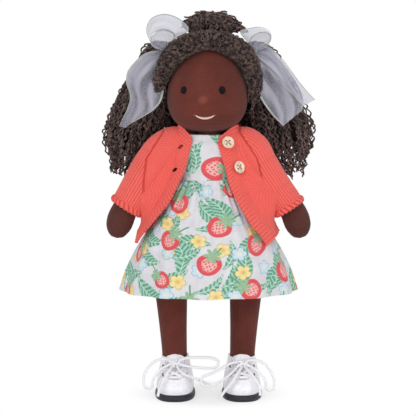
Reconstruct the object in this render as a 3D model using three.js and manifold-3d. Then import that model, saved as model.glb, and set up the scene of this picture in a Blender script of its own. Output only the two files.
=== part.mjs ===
// A stuffed cloth doll that stands in her shoes, in a gathered dress and an open knitted cardigan.
// Millimetres, +Z up. The doll faces -Y, and left and right are her own, so her left side is +X.
// The origin is on the floor, midway between the shoes.
import * as THREE from "three";
import { mergeVertices } from "three/addons/utils/BufferGeometryUtils.js";
import Module from "manifold-3d";

const wasm = await Module();
wasm.setup();

// Cloth, seams and clearances
const gap = 0.3;
const seamSlit = 0.25;
const skin = 1.2;
const cotton = 0.9;
const knit = 2.4;
const knitEase = 1.3;
const overrun = 60;
const weldDistance = 0.0001;

// The foot in its shoe and the leg on it carry the rest
const soleThickness = 6.2;
const footHalf = [13, 24, 8.6];
const footForward = 9;
const heelDrop = 1.9;
const legLength = 136;
const hipSeam = 0.8;
const footHeight = soleThickness + gap + footHalf[2];
const hipHeight = footHeight - heelDrop + legLength + hipSeam;

// Torso, from the hip seam up: rows of height, half width and half depth
const torsoLength = 110;
const torsoHalfWidth = 56;
const torsoHalfDepth = 24;
const torsoShares = [
  [0, 1, 0.04],
  [0.09, 0.97, 0.5],
  [0.2, 0.88, 0.9],
  [0.35, 0.72, 1],
  [0.5, 0.56, 0.92],
  [0.62, 0.48, 0.8],
  [0.78, 0.55, 0.82],
  [0.88, 0.66, 0.82],
  [0.95, 0.62, 0.76],
  [1, 0.42, 0.66],
];
const armholeHalfSpan = 35.5;
const torsoTop = hipHeight + torsoLength;

// Neck and head: rows of height and radius, from the chin up
const neckRadius = 12;
const neckPivotDrop = 2;
const neckSocketEase = 0.5;
const neckPivotHeight = torsoTop - neckPivotDrop;
const neckInsideHead = 18;
const chinRise = 7;
const chinHeight = torsoTop + chinRise;
const headHeight = 87.5;
const headHalfWidth = 39.5;
const headHalfDepth = 38.5;
const headShares = [
  [0, 0.34],
  [0.03, 0.5],
  [0.09, 0.69],
  [0.18, 0.88],
  [0.28, 0.98],
  [0.37, 1],
  [0.48, 0.99],
  [0.6, 0.93],
  [0.74, 0.8],
  [0.86, 0.61],
  [0.95, 0.36],
  [1, 0.06],
];

// Face, stitched in thread and turned a little to her right
const faceTurn = THREE.MathUtils.degToRad(-7);
const eyeRise = 40;
const eyeHeight = chinHeight + eyeRise;
const eyeSpacing = 37;
const eyeHalf = [3.3, 1.3, 3.6];
const mouthRise = 13.3;
const mouthHeight = chinHeight + mouthRise;
const mouthHalfWidth = 8.8;
const mouthCurve = 2.8;
const mouthShares = [-1, -0.6, 0, 0.6, 1];
const mouthThreadRadius = 0.8;
const noseRise = 31;
const noseHeight = chinHeight + noseRise;
const noseHalf = [4.6, 4.2, 4.2];

// Arms, from inside the armhole down to the fingertips: rows of reach, drop, half width and half depth
const armTopDrop = 1;
const armTop = torsoTop - armTopDrop;
const armReach = 59;
const armDrop = 102;
const armRadius = 14;
const armShares = [
  [-0.161, 0, 1, 1],
  [0.059, 0.088, 1, 1],
  [0.314, 0.225, 1, 1],
  [0.585, 0.451, 0.93, 0.93],
  [0.805, 0.676, 0.84, 0.82],
  [0.924, 0.833, 0.9, 0.68],
  [0.975, 0.941, 0.74, 0.55],
  [1, 1, 0.3, 0.22],
];

// Legs, from the hip seam down to the heel: rows of drop, half width, half depth and shift to the ankle
const legSpread = 39;
const ankleSpread = 34;
const thighHalfWidth = 17.5;
const thighHalfDepth = 15.5;
const legShares = [
  [0, 0.97, 0.04, 0],
  [0.083, 1, 0.38, 0],
  [0.18, 1, 0.76, 0.1],
  [0.28, 0.95, 0.98, 0.25],
  [0.4, 0.88, 0.98, 0.45],
  [0.6, 0.77, 0.87, 0.75],
  [0.8, 0.7, 0.79, 1],
  [0.92, 0.69, 0.79, 1],
  [1, 0.5, 0.6, 1],
];
const heelInsideShare = 0.96;

// Dress: rows of drop and flare from the waist to the hem
const waistRise = 68;
const waistHeight = hipHeight + waistRise;
const necklineRise = 3;
const necklineHeight = torsoTop + necklineRise;
const skirtLength = 111;
const hemHeight = waistHeight - skirtLength;
const waistEase = 1;
const hemHalfWidth = 90;
const hemHalfDepth = 66;
const skirtShares = [
  [0, 0],
  [0.2, 0.22],
  [0.43, 0.49],
  [0.67, 0.76],
  [0.86, 0.92],
  [1, 1],
];
const skirtFolds = 12;
const skirtFoldDepth = 2.2;

// Cardigan: rows of drop, half width and half depth, and how far each front edge lies from the middle
const cardiganRise = 7;
const cardiganTop = torsoTop + cardiganRise;
const cardiganLength = 109;
const cardiganHalfWidth = 73.5;
const cardiganHalfDepth = 55;
const cardiganShares = [
  [0, 0, 0],
  [0.05, 0.4, 0.3],
  [0.115, 0.45, 0.36],
  [0.185, 0.46, 0.38],
  [0.36, 0.52, 0.49],
  [0.46, 0.575, 0.57],
  [0.6, 0.69, 0.7],
  [0.8, 0.86, 0.88],
  [1, 1, 1],
];
const leftEdgeShares = [0.2, 0.165, 0.15, 0.175, 0.265, 0.315, 0.435, 0.625, 0.82];
const rightEdgeShares = [0.26, 0.23, 0.24, 0.26, 0.33, 0.41, 0.51, 0.75, 0.965];
const sleeveRadius = 17.4;
const sleeveShares = [0.96, 0.97, 1, 1, 0.93];
const sleeveClearance = 1.2;

// Buttons, their thread and the buttonholes, placed below the cardigan's top and in from its front edge
const buttonRadius = 6.1;
const buttonThickness = 2.2;
const buttonHoleRadius = 0.9;
const buttonHoleOffset = 2;
const buttonThreadRadius = 0.5;
const buttonShanks = { upper: 1.6, lower: 2.6 };
const buttonDrops = { upper: 12, lower: 36.4 };
const buttonInsets = { upper: 7.4, lower: 9.8 };
const buttonholeInset = 9.4;
const buttonholeLength = 9;
const buttonholeWidth = 1.6;

// Hair on the head: the cap of short hair, the roll round the face, and the tied topknot
const capThickness = 6;
const hairlineRise = 79;
const hairlineForward = 20;
const hairlineSlope = THREE.MathUtils.degToRad(17);
const napeRise = 17;
const rollFootRise = 30;
const rollRise = 59;
const rollHalfSpan = 46;
const rollForward = 26;
const rollRadius = 10;
const rollShares = [
  [0, 0.97, 0.2, 0.6],
  [0.2, 1, 0.34, 0.76],
  [0.43, 0.94, 0.55, 0.82],
  [0.68, 0.78, 0.78, 0.9],
  [0.88, 0.48, 0.93, 0.97],
  [1, 0, 1, 1],
];
const topknotHeight = 24.5;
const topknotHalfWidth = 32;
const topknotHalfDepth = 21;
const topknotBack = 13;
const topknotLean = 6;
const topknotShares = [
  [0, 0.25, 0.38, 0],
  [0.27, 0.25, 0.38, 0.1],
  [0.38, 0.7, 0.7, 0.5],
  [0.56, 1, 1, 1],
  [0.8, 0.84, 0.84, 1],
  [1, 0.35, 0.4, 1],
];
const tieRadius = 1.5;

// Long locks: rows of drop, outward place, backward place, half width and half depth
const lockRise = 90;
const lockTop = chinHeight + lockRise;
const lockLength = 138;
const lockHalfSpan = 107;
const lockDepth = 60;
const sideLockShares = [
  [0, 0.33, 0.2, 0.07, 0.15],
  [0.08, 0.41, 0.23, 0.17, 0.23],
  [0.21, 0.5, 0.3, 0.18, 0.3],
  [0.39, 0.58, 0.4, 0.24, 0.33],
  [0.56, 0.655, 0.46, 0.27, 0.35],
  [0.7, 0.71, 0.5, 0.29, 0.33],
  [0.85, 0.74, 0.55, 0.24, 0.26],
  [1, 0.83, 0.57, 0.11, 0.13],
];
const backLockShares = [
  [0.02, 0, 0.42, 0.26, 0.22],
  [0.2, 0, 0.58, 0.36, 0.32],
  [0.42, 0, 0.66, 0.42, 0.34],
  [0.64, 0, 0.7, 0.43, 0.3],
  [0.84, 0, 0.73, 0.38, 0.25],
  [1, 0, 0.76, 0.27, 0.15],
];

// Ribbon bows, each tied round its own knot. Rows go outwards and up (loops) or down (tails) from the
// knot, with the place across, along and back, and the half width.
const bowHalfSpan = 46;
const bowCentreRise = 81;
const bowHeight = chinHeight + bowCentreRise;
const bowForward = 3;
const bowReach = 50;
const bowRise = 34;
const bowDrop = 76;
const ribbonHalfWidth = 17;
const ribbonSweep = 14;
const loopHalfThickness = 1.6;
const tailHalfThickness = 0.7;
const bowKnotHalf = [7, 5.5, 5];
const bowStrapHalf = [4, 2.6];
const bowShares = {
  right: {
    loops: [
      [
        [0, -0.1, 0, 0.2],
        [0, 0.16, 0, 0.22],
        [0.04, 0.34, 0.3, 0.8],
        [0.08, 0.6, 0.6, 1.1],
        [0.03, 0.98, 0.6, 0.5],
      ],
      [
        [0, -0.1, 0, 0.2],
        [0, 0.16, 0, 0.22],
        [0.06, 0.28, -0.5, 0.72],
        [0.1, 0.52, -0.66, 0.5],
      ],
    ],
    tails: [
      [
        [0, -0.05, 0, 0.2],
        [0, 0.07, 0, 0.22],
        [0.24, 0.16, 0.07, 0.72],
        [0.37, 0.38, 0.22, 1],
        [0.38, 0.62, 0.3, 0.95],
        [0.6, 0.82, 0.25, 0.45],
        [0.8, 1, 0.2, 0.12],
      ],
    ],
  },
  left: {
    loops: [
      [
        [0, -0.1, 0, 0.2],
        [0, 0.16, 0, 0.22],
        [0.12, 0.38, 0.5, 0.62],
        [0.13, 0.62, 0.6, 0.3],
      ],
      [
        [0, -0.1, 0, 0.2],
        [0, 0.16, 0, 0.22],
        [-0.08, 0.34, -0.6, 0.58],
        [-0.08, 0.55, -0.66, 0.3],
      ],
    ],
    tails: [
      [
        [0, -0.05, 0, 0.2],
        [0, 0.07, 0, 0.22],
        [0.2, 0.16, 0.06, 0.6],
        [0.38, 0.35, 0.12, 0.95],
        [0.56, 0.63, 0.22, 1.15],
        [0.72, 0.9, 0.25, 0.55],
        [0.78, 1, 0.25, 0.15],
      ],
      [
        [0, -0.05, 0, 0.2],
        [0, 0.07, 0, 0.22],
        [0.36, 0.16, -0.2, 0.42],
        [0.7, 0.36, -0.26, 0.5],
        [1, 0.6, -0.3, 0.42],
        [1.16, 0.68, -0.3, 0.12],
      ],
    ],
  },
};

// Shoes: rows of the upper by height, toe, heel and half width
const shoeSpread = 33.5;
const soleToe = 39;
const soleHeel = 27;
const soleHalfWidth = 21.5;
const heelNarrowShare = 0.14;
const outlineFullnessShare = 0.8;
const upperThickness = 1.5;
const upperHeight = 33.5;
const upperShares = [
  [0, 0.935, 0.92, 0.9],
  [0.2, 0.94, 0.935, 0.915],
  [0.46, 0.78, 0.92, 0.86],
  [0.74, 0.54, 0.82, 0.775],
  [1, 0.4, 0.66, 0.74],
];
const throatHalfWidth = 6.2;
const throatHeight = 21;
const tongueHalfWidth = 8;
const tongueThickness = 1;
const tongueRise = 2.4;
const tongueOverlap = 1.2;
const vampBack = 7;
const vampSlope = THREE.MathUtils.degToRad(50);
const eyeletRadius = 2;
const eyeletHeights = [24.5, 31.5];
const eyeletHalfSpan = 11.6;

// Laces, with each free stretch as a route from the knot
const laceRadius = 1.4;
const laceStandOff = 1.3;
const crossingShares = [0, 0.25, 0.5, 0.75, 1];
const laceKnotHalf = [4.4, 3.4, 3.6];
const laceKnotHeight = 36.5;
const laceRoutes = {
  right: {
    outer_loop: [
      [-36, -22, 37.5], [-43, -25, 41], [-52, -26, 39], [-61, -26, 31], [-64.5, -27, 21],
      [-62, -27.5, 12], [-57, -27.5, 12], [-55, -27, 20], [-48, -26.5, 30], [-36, -23.5, 36],
    ],
    inner_loop: [
      [-31, -22, 38], [-22, -24, 41.5], [-8, -24, 42], [3, -24, 41.5], [10, -24, 38],
      [8.5, -24.5, 33], [0, -25, 31.5], [-11, -26, 32.5], [-22, -26.5, 34], [-31, -24, 36],
    ],
    outer_tail: [[-35.5, -25.5, 34], [-39.5, -33, 30], [-44, -36, 22], [-48, -39, 14], [-50, -42, 7]],
    inner_tail: [[-31.5, -25.5, 34], [-27, -32, 29], [-17, -32, 24], [-7, -29, 19.5], [0.5, -27, 15]],
  },
  left: {
    outer_loop: [
      [36, -22, 37.5], [44, -25, 40], [54, -26, 37], [62, -26, 28], [65.5, -27, 17],
      [63, -27.5, 9], [58.5, -27.5, 10.5], [56.5, -27, 19], [49, -26.5, 28.5], [36, -23.5, 36],
    ],
    inner_loop: [
      [31, -22, 37.5], [23, -26, 37], [12, -29, 31.5], [2, -31, 27], [-7, -32, 22.5],
      [-7, -32, 17], [1, -32, 15.5], [11, -31.5, 19], [21, -30, 26], [31, -24, 35],
    ],
    outer_tail: [[35.5, -25.5, 34], [40, -33, 30], [46, -36, 23], [50, -39, 15], [51, -42, 8]],
    inner_tail: [[33, -25.5, 33], [29, -33.5, 29], [23, -38, 20], [16, -40, 12], [11, -42, 5]],
  },
};

// Facet counts
const bodySides = 16;
const limbSides = 12;
const smallSides = 8;
const finestSides = 6;
const shoeSides = 18;
const laceSides = 8;
const laceStepLength = 7;
const panelColumns = 6;
const backColumns = 12;

const axisX = new THREE.Vector3(1, 0, 0);
const axisY = new THREE.Vector3(0, 1, 0);
const axisZ = new THREE.Vector3(0, 0, 1);

// Closed surfaces

function closedMesh(points, triangles) {
  let volume = 0;
  for (const [a, b, c] of triangles) volume += points[a].dot(points[b].clone().cross(points[c]));
  const outward = volume < 0 ? triangles.map(([a, b, c]) => [a, c, b]) : triangles;
  const made = new THREE.BufferGeometry();
  made.setFromPoints(points);
  made.setIndex(outward.flat());
  return made;
}

// Rings of equal count joined in turn and capped at both ends.
function cappedSkin(rings) {
  const count = rings[0].length;
  const points = rings.flat();
  const triangles = [];
  for (let i = 0; i < rings.length - 1; i++) {
    for (let j = 0; j < count; j++) {
      const next = (j + 1) % count;
      const [a, b] = [i * count + j, i * count + next];
      triangles.push([a, b, b + count], [a, b + count, a + count]);
    }
  }
  for (const [ring, turned] of [[rings[0], false], [rings.at(-1), true]]) {
    const start = turned ? (rings.length - 1) * count : 0;
    const middle = ring.reduce((sum, p) => sum.addScaledVector(p, 1 / count), new THREE.Vector3());
    const hub = points.push(middle) - 1;
    for (let j = 0; j < count; j++) {
      const next = (j + 1) % count;
      triangles.push(turned ? [hub, start + j, start + next] : [hub, start + next, start + j]);
    }
  }
  return closedMesh(points, triangles);
}

// A slab between two grids of the same size, closed round its border.
function slabBetween(outer, inner) {
  const rows = outer.length;
  const columns = outer[0].length;
  const points = [...outer.flat(), ...inner.flat()];
  const half = rows * columns;
  const at = (i, j) => i * columns + j;
  const triangles = [];
  for (let i = 0; i < rows - 1; i++) {
    for (let j = 0; j < columns - 1; j++) {
      const [a, b, c, d] = [at(i, j), at(i, j + 1), at(i + 1, j + 1), at(i + 1, j)];
      triangles.push([a, b, c], [a, c, d]);
      triangles.push([half + a, half + c, half + b], [half + a, half + d, half + c]);
    }
  }
  const border = [];
  for (let j = 0; j < columns - 1; j++) border.push([at(0, j), at(0, j + 1)]);
  for (let i = 0; i < rows - 1; i++) border.push([at(i, columns - 1), at(i + 1, columns - 1)]);
  for (let j = columns - 1; j > 0; j--) border.push([at(rows - 1, j), at(rows - 1, j - 1)]);
  for (let i = rows - 1; i > 0; i--) border.push([at(i, 0), at(i - 1, 0)]);
  for (const [a, b] of border) triangles.push([b, a, half + a], [b, half + a, half + b]);
  return closedMesh(points, triangles);
}

function ringOf(centre, across, deep, halfAcross, halfDeep, count) {
  return Array.from({ length: count }, (_, j) => {
    const turn = (2 * Math.PI * j) / count;
    return centre
      .clone()
      .addScaledVector(across, halfAcross * Math.cos(turn))
      .addScaledVector(deep, halfDeep * Math.sin(turn));
  });
}

function levelRing(x, y, z, halfWidth, halfDepth, count) {
  return ringOf(new THREE.Vector3(x, y, z), axisX, axisY, halfWidth, halfDepth, count);
}

// Sections square to a path that runs mostly up and across, with their depth along Y.
function sectionsAlong(path, halfWidths, halfDepths, count) {
  return path.map((point, i) => {
    const before = path[Math.max(i - 1, 0)];
    const after = path[Math.min(i + 1, path.length - 1)];
    const along = after.clone().sub(before).normalize();
    const across = along.clone().cross(axisY).normalize();
    return ringOf(point, across, axisY, halfWidths[i], halfDepths[i], count);
  });
}

// Where the rows of a table, in order of their first number, have their other numbers.
function rowAt(table, place) {
  const rising = table.at(-1)[0] > table[0][0];
  const next = table.findIndex(([start], i) => i > 0 && (rising ? start >= place : start <= place));
  const high = next < 0 ? table.length - 1 : next;
  const [from, to] = [table[high - 1], table[high]];
  const part = THREE.MathUtils.clamp((place - from[0]) / (to[0] - from[0]), 0, 1);
  return from.map((value, i) => value + (to[i] - value) * part);
}

// Solids and what is cut from them

function toSolid(geometry) {
  const bare = new THREE.BufferGeometry();
  bare.setAttribute("position", geometry.attributes.position);
  if (geometry.index) bare.setIndex(geometry.index);
  const merged = mergeVertices(bare, weldDistance);
  const vertProperties = new Float32Array(merged.attributes.position.array);
  const triVerts = new Uint32Array(merged.index.array);
  return new wasm.Manifold(new wasm.Mesh({ numProp: 3, vertProperties, triVerts }));
}

function toGeometry(solid) {
  const mesh = solid.getMesh();
  const made = new THREE.BufferGeometry();
  made.setAttribute("position", new THREE.BufferAttribute(new Float32Array(mesh.vertProperties), 3));
  made.setIndex(new THREE.BufferAttribute(new Uint32Array(mesh.triVerts), 1));
  return made;
}

const joined = (...solids) => solids.reduce((all, one) => all.add(one));
const without = (solid, ...others) => others.reduce((left, other) => left.subtract(other), solid);

// A solid swollen along its corners' normals, so that what it cuts keeps the gap to it.
function swollen(solid, distance = gap) {
  const geometry = toGeometry(solid);
  geometry.computeVertexNormals();
  const place = geometry.attributes.position;
  const normal = geometry.attributes.normal;
  for (let i = 0; i < place.count; i++) {
    place.setX(i, place.getX(i) + normal.getX(i) * distance);
    place.setY(i, place.getY(i) + normal.getY(i) * distance);
    place.setZ(i, place.getZ(i) + normal.getZ(i) * distance);
  }
  return toSolid(geometry);
}

const clearOf = (solid, ...others) => without(solid, ...others.map((other) => swollen(other)));

// The largest body that a cut leaves.
function mainBody(solid) {
  return solid.decompose().reduce((most, body) => (body.volume() > most.volume() ? body : most));
}

const capped = (rings) => toSolid(cappedSkin(rings));

function boxBetween(low, high) {
  const size = low.map((v, i) => high[i] - v);
  const centre = low.map((v, i) => (high[i] + v) / 2);
  return toSolid(new THREE.BoxGeometry(...size).translate(...centre));
}

function ellipsoid(centre, half, across = limbSides, up = finestSides) {
  const ball = new THREE.SphereGeometry(1, across, up).rotateX(Math.PI / 2);
  return toSolid(ball.scale(...half).translate(...centre));
}

function tubeAlong(points, radius, sides = laceSides, stepLength = laceStepLength) {
  const path = new THREE.CatmullRomCurve3(points.map((p) => new THREE.Vector3(...p)));
  const section = new THREE.Shape();
  for (let i = 0; i < sides; i++) {
    const turn = (2 * Math.PI * i) / sides;
    const corner = [radius * Math.cos(turn), radius * Math.sin(turn)];
    if (i) section.lineTo(...corner);
    else section.moveTo(...corner);
  }
  section.closePath();
  const steps = Math.max(1, Math.round(path.getLength() / stepLength));
  return toSolid(new THREE.ExtrudeGeometry(section, { steps, extrudePath: path, bevelEnabled: false }));
}

const mirrored = (solid) => {
  const geometry = toGeometry(solid).scale(-1, 1, 1);
  const order = geometry.index.array;
  for (let i = 0; i < order.length; i += 3) [order[i + 1], order[i + 2]] = [order[i + 2], order[i + 1]];
  return toSolid(geometry);
};

// The model and its materials

const doll = new THREE.Group();

function cloth(color, roughness) {
  return () => new THREE.MeshStandardMaterial({ color, roughness, metalness: 0 });
}

const looks = {
  skin: cloth(0x6b3a2b, 0.9),
  stuffing: cloth(0xe9e2d2, 1),
  cotton: cloth(0xeee0c4, 0.85),
  knit: cloth(0xdf6f5c, 0.95),
  wood: cloth(0xd9bd93, 0.6),
  redThread: cloth(0xb04b3f, 0.8),
  blackThread: cloth(0x14110f, 0.6),
  whiteThread: cloth(0xe7dfd3, 0.7),
  hair: cloth(0x2c1a12, 0.95),
  ribbon: cloth(0xf0eeee, 0.4),
  elastic: cloth(0x231712, 0.8),
  patent: cloth(0xf2efe9, 0.25),
  sole: cloth(0x1d2130, 0.6),
  lace: cloth(0xf4f1ea, 0.8),
};

function addPart(name, look, solid) {
  const geometry = toGeometry(solid);
  geometry.computeVertexNormals();
  const mesh = new THREE.Mesh(geometry, looks[look]());
  mesh.name = name;
  doll.add(mesh);
}

// Torso

function torsoHalf(height) {
  const [, width, depth] = rowAt(torsoShares, (height - hipHeight) / torsoLength);
  return [torsoHalfWidth * width, torsoHalfDepth * depth];
}

function torsoRings(extra, heights) {
  return heights.map((z) => {
    const [width, depth] = torsoHalf(z);
    const halves = [width, depth].map((half) => Math.max(half + extra, seamSlit));
    return levelRing(0, 0, z, ...halves, bodySides);
  });
}

const torsoHeights = torsoShares.map(([share]) => hipHeight + share * torsoLength);
const betweenArms = boxBetween(
  [-armholeHalfSpan, -overrun, 0],
  [armholeHalfSpan, overrun, torsoTop + overrun],
);
const belowArms = boxBetween([-overrun, -overrun, 0], [overrun, overrun, waistHeight]);
const torsoSpace = joined(betweenArms, belowArms);

function torsoCover() {
  const outer = capped(torsoRings(0, torsoHeights));
  const innerHeights = [hipHeight - overrun, ...torsoHeights, torsoTop + overrun];
  return without(outer, capped(torsoRings(-skin, innerHeights))).intersect(torsoSpace);
}

const neckBall = ellipsoid(
  [0, 0, neckPivotHeight],
  [neckRadius, neckRadius, neckRadius],
  bodySides,
  smallSides,
);

function torsoStuffing() {
  const heights = [...torsoHeights.slice(1).filter((z) => z < neckPivotHeight), neckPivotHeight];
  const filling = capped(torsoRings(-skin - gap, heights)).intersect(torsoSpace);
  return without(filling, swollen(neckBall, neckSocketEase));
}

// Neck and head

function headHalf(height) {
  const [, share] = rowAt(headShares, (height - chinHeight) / headHeight);
  return [headHalfWidth * share, headHalfDepth * share];
}

function headSolid(extra, rows = headShares) {
  return capped(
    rows.map(([share]) => {
      const z = chinHeight + headHeight * share;
      const [width, depth] = headHalf(z);
      const lift = extra * (2 * share - 1);
      return levelRing(0, 0, z + lift, width + extra, depth + extra, bodySides);
    }),
  );
}

const neckTop = chinHeight + neckInsideHead;

function neckColumn(radius, bottom, top) {
  return capped([bottom, top].map((z) => levelRing(0, 0, z, radius, radius, bodySides)));
}

function facePoint(x, z, standOff) {
  const [width, depth] = headHalf(z);
  const y = -(depth * Math.sqrt(1 - (x / width) ** 2) + standOff);
  return new THREE.Vector3(x, y, z).applyAxisAngle(axisZ, faceTurn);
}

const headForm = headSolid(0);
const headInsideRows = headShares.filter((_, i) => i % 2 || i === headShares.length - 2);

function headCover() {
  const nose = ellipsoid(facePoint(0, noseHeight, 0).toArray(), noseHalf, smallSides, smallSides);
  const hollow = headSolid(-skin, headInsideRows);
  const hole = neckColumn(neckRadius + gap, chinHeight - overrun, neckTop + gap);
  return without(joined(headForm, nose), hollow, hole);
}

function headStuffing() {
  const hole = neckColumn(neckRadius + gap, chinHeight - overrun, neckTop + gap);
  return without(headSolid(-skin - gap, headInsideRows), hole);
}

function eye(side) {
  const place = facePoint((side * eyeSpacing) / 2, eyeHeight, 0);
  return mainBody(clearOf(ellipsoid(place.toArray(), eyeHalf, smallSides, smallSides), headForm));
}

function mouth() {
  const standOff = mouthThreadRadius + gap;
  const points = mouthShares.map((share) =>
    facePoint(mouthHalfWidth * share, mouthHeight + mouthCurve * share * share, standOff).toArray(),
  );
  return mainBody(clearOf(tubeAlong(points, mouthThreadRadius, finestSides, mouthHalfWidth / 4), headForm));
}

// Arms and sleeves

function armPath(side, rows) {
  return rows.map(([reach, drop]) => {
    const x = side * (armholeHalfSpan + armReach * reach);
    return new THREE.Vector3(x, 0, armTop - armDrop * drop);
  });
}

function armForm(side, extra, rows = armShares) {
  const widths = rows.map(([, , width]) => armRadius * width + extra);
  const depths = rows.map(([, , , depth]) => armRadius * depth + extra);
  return capped(sectionsAlong(armPath(side, rows), widths, depths, limbSides));
}

function outsideArmhole(side) {
  const near = armholeHalfSpan + gap;
  const far = near + armReach + overrun;
  const [low, high] = side > 0 ? [near, far] : [-far, -near];
  return boxBetween([low, -overrun, 0], [high, overrun, armTop + overrun]);
}

const armInsideShares = armShares.slice(0, -1);

function armCover(side) {
  return without(armForm(side, 0), armForm(side, -skin, armInsideShares)).intersect(outsideArmhole(side));
}

function armStuffing(side) {
  return armForm(side, -skin - gap, armInsideShares).intersect(outsideArmhole(side));
}

const sleeveRows = armShares.slice(0, sleeveShares.length);

function sleeveTube(side, extra, rows, shares) {
  const halves = rows.map((_, i) => sleeveRadius * shares[i] + extra);
  return capped(sectionsAlong(armPath(side, rows), halves, halves, limbSides));
}

function sleeve(side) {
  const outer = sleeveTube(side, 0, sleeveRows, sleeveShares);
  const beyond = [...sleeveRows, armShares[sleeveRows.length]];
  const inner = sleeveTube(side, -knit, beyond, [...sleeveShares, sleeveShares.at(-1)]);
  return without(outer, inner).intersect(outsideArmhole(side));
}

// Dress

function bodiceRings(extra, heights) {
  return torsoRings(gap + extra, heights);
}

function dressBodice() {
  const middle = torsoHeights.filter((z) => z > waistHeight && z < torsoTop);
  const heights = [waistHeight, ...middle, torsoTop, necklineHeight];
  const outer = capped(bodiceRings(cotton, heights));
  const inner = capped(bodiceRings(0, [waistHeight - overrun, ...heights, necklineHeight + overrun]));
  return without(outer, inner).intersect(betweenArms);
}

function skirtHalf(height) {
  const [, flare] = rowAt(skirtShares, (waistHeight - height) / skirtLength);
  const waist = torsoHalf(waistHeight).map((half) => half + gap + cotton + waistEase);
  return [hemHalfWidth, hemHalfDepth].map((hem, i) => waist[i] + (hem - waist[i]) * flare);
}

function skirtRing(share, height, extra) {
  const [width, depth] = skirtHalf(height);
  const sides = skirtFolds * 3;
  return Array.from({ length: sides }, (_, j) => {
    const turn = (2 * Math.PI * j) / sides;
    const fold = skirtFoldDepth * share * Math.cos(skirtFolds * turn);
    const half = [width, depth].map((size) => size - skirtFoldDepth * share + fold + extra);
    return new THREE.Vector3(half[0] * Math.cos(turn), half[1] * Math.sin(turn), height);
  });
}

function dressSkirt() {
  const top = waistHeight - gap;
  const heightOf = (share) => waistHeight - skirtLength * share;
  const rings = (extra) =>
    skirtShares.map(([share]) => skirtRing(share, Math.min(heightOf(share), top), extra));
  const inner = [
    skirtRing(0, top + overrun, -cotton),
    ...rings(-cotton),
    skirtRing(1, hemHeight - overrun, -cotton),
  ];
  return without(capped(rings(0)), capped(inner));
}

// Cardigan

function cardiganHalf(height) {
  const [, width, depth] = rowAt(cardiganShares, (cardiganTop - height) / cardiganLength);
  const bodiceHalf = () => torsoHalf(height).map((half) => half + gap + cotton);
  const [dressWidth, dressDepth] = height > waistHeight ? bodiceHalf() : skirtHalf(height);
  return [
    Math.max(cardiganHalfWidth * width, dressWidth + knitEase + knit),
    Math.max(cardiganHalfDepth * depth, dressDepth + knitEase + knit),
  ];
}

function cardiganPoint(height, turn, extra) {
  const [width, depth] = cardiganHalf(height);
  return new THREE.Vector3((width + extra) * Math.cos(turn), -(depth + extra) * Math.sin(turn), height);
}

const cardiganHeights = cardiganShares.map(([share]) => cardiganTop - cardiganLength * share);

// The turn from her side to where a panel of the cardigan lies a distance from the middle.
const turnTo = (height, distance) => Math.acos(distance / cardiganHalf(height)[0]);
const sideTurn = (height) => gap / cardiganHalf(height)[0];

function frontEdge(side, height) {
  const shares = side > 0 ? leftEdgeShares : rightEdgeShares;
  const table = cardiganHeights.map((z, i) => [z, cardiganHalfWidth * shares[i]]);
  return rowAt(table, height)[1];
}

function frontPanel(side) {
  const grid = (extra) =>
    cardiganHeights.map((z) => {
      const start = sideTurn(z);
      const end = turnTo(z, frontEdge(side, z));
      return Array.from({ length: panelColumns + 1 }, (_, j) => {
        const point = cardiganPoint(z, start + ((end - start) * j) / panelColumns, extra);
        return point.setX(point.x * side);
      });
    });
  return toSolid(slabBetween(grid(0), grid(-knit)));
}

function backPanel() {
  const grid = (extra) =>
    cardiganHeights.map((z) => {
      const start = -sideTurn(z);
      const end = -Math.PI - start;
      return Array.from({ length: backColumns + 1 }, (_, j) =>
        cardiganPoint(z, start + ((end - start) * j) / backColumns, extra),
      );
    });
  return toSolid(slabBetween(grid(0), grid(-knit)));
}

// The space that a sleeve needs as it swings: beyond the armhole and above its own underside.
function sleeveSpace(side) {
  const path = armPath(1, sleeveRows);
  const outline = new THREE.Shape();
  const reach = sleeveRadius + sleeveClearance;
  const top = armTop + overrun;
  const under = path.slice(1).map((point, i) => {
    const along = point.clone().sub(path[i]).normalize();
    return [point.x + along.z * reach, point.z - along.x * reach];
  });
  const [[, firstZ], [lastX, lastZ]] = [under[0], under.at(-1)];
  outline.moveTo(0, top);
  outline.lineTo(0, firstZ);
  for (const point of under) outline.lineTo(...point);
  outline.lineTo(lastX + overrun, lastZ);
  outline.lineTo(lastX + overrun, top);
  outline.closePath();
  const prism = new THREE.ExtrudeGeometry(outline, { depth: 2 * overrun, bevelEnabled: false });
  const beyond = boxBetween([armholeHalfSpan, -overrun, 0], [lastX + overrun, overrun, top]);
  const solid = toSolid(prism.rotateX(Math.PI / 2).translate(0, overrun, 0)).intersect(beyond);
  return side > 0 ? solid : mirrored(solid);
}

// A frame on the cardigan's front, with its third axis pointing out of the knit.
function surfaceFrame(side, distance, height, standOff) {
  const turn = turnTo(height, distance);
  const reach = buttonRadius;
  const step = reach / cardiganHalf(height)[0];
  const across = cardiganPoint(height, turn - step, 0).sub(cardiganPoint(height, turn + step, 0));
  const up = cardiganPoint(height + reach, turn, 0).sub(cardiganPoint(height - reach, turn, 0));
  const out = across.clone().cross(up).normalize();
  const place = cardiganPoint(height, turn, 0).addScaledVector(out, standOff);
  const mirror = new THREE.Vector3(side, 1, 1);
  for (const one of [out, place, up]) one.multiply(mirror);
  up.normalize();
  return new THREE.Matrix4().makeBasis(up.clone().cross(out), up, out).setPosition(place);
}

function buttonFrame(which, standOff) {
  const height = cardiganTop - buttonDrops[which];
  return surfaceFrame(1, frontEdge(1, height) + buttonInsets[which], height, standOff);
}

const buttonHolePlaces = [-1, 1].flatMap((x) =>
  [-1, 1].map((y) => [x * buttonHoleOffset, y * buttonHoleOffset]),
);

function disc(radius, thickness, place, sides) {
  const blank = new THREE.CylinderGeometry(radius, radius, thickness, sides).rotateX(Math.PI / 2);
  return toSolid(blank.translate(place[0], place[1], thickness / 2));
}

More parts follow.
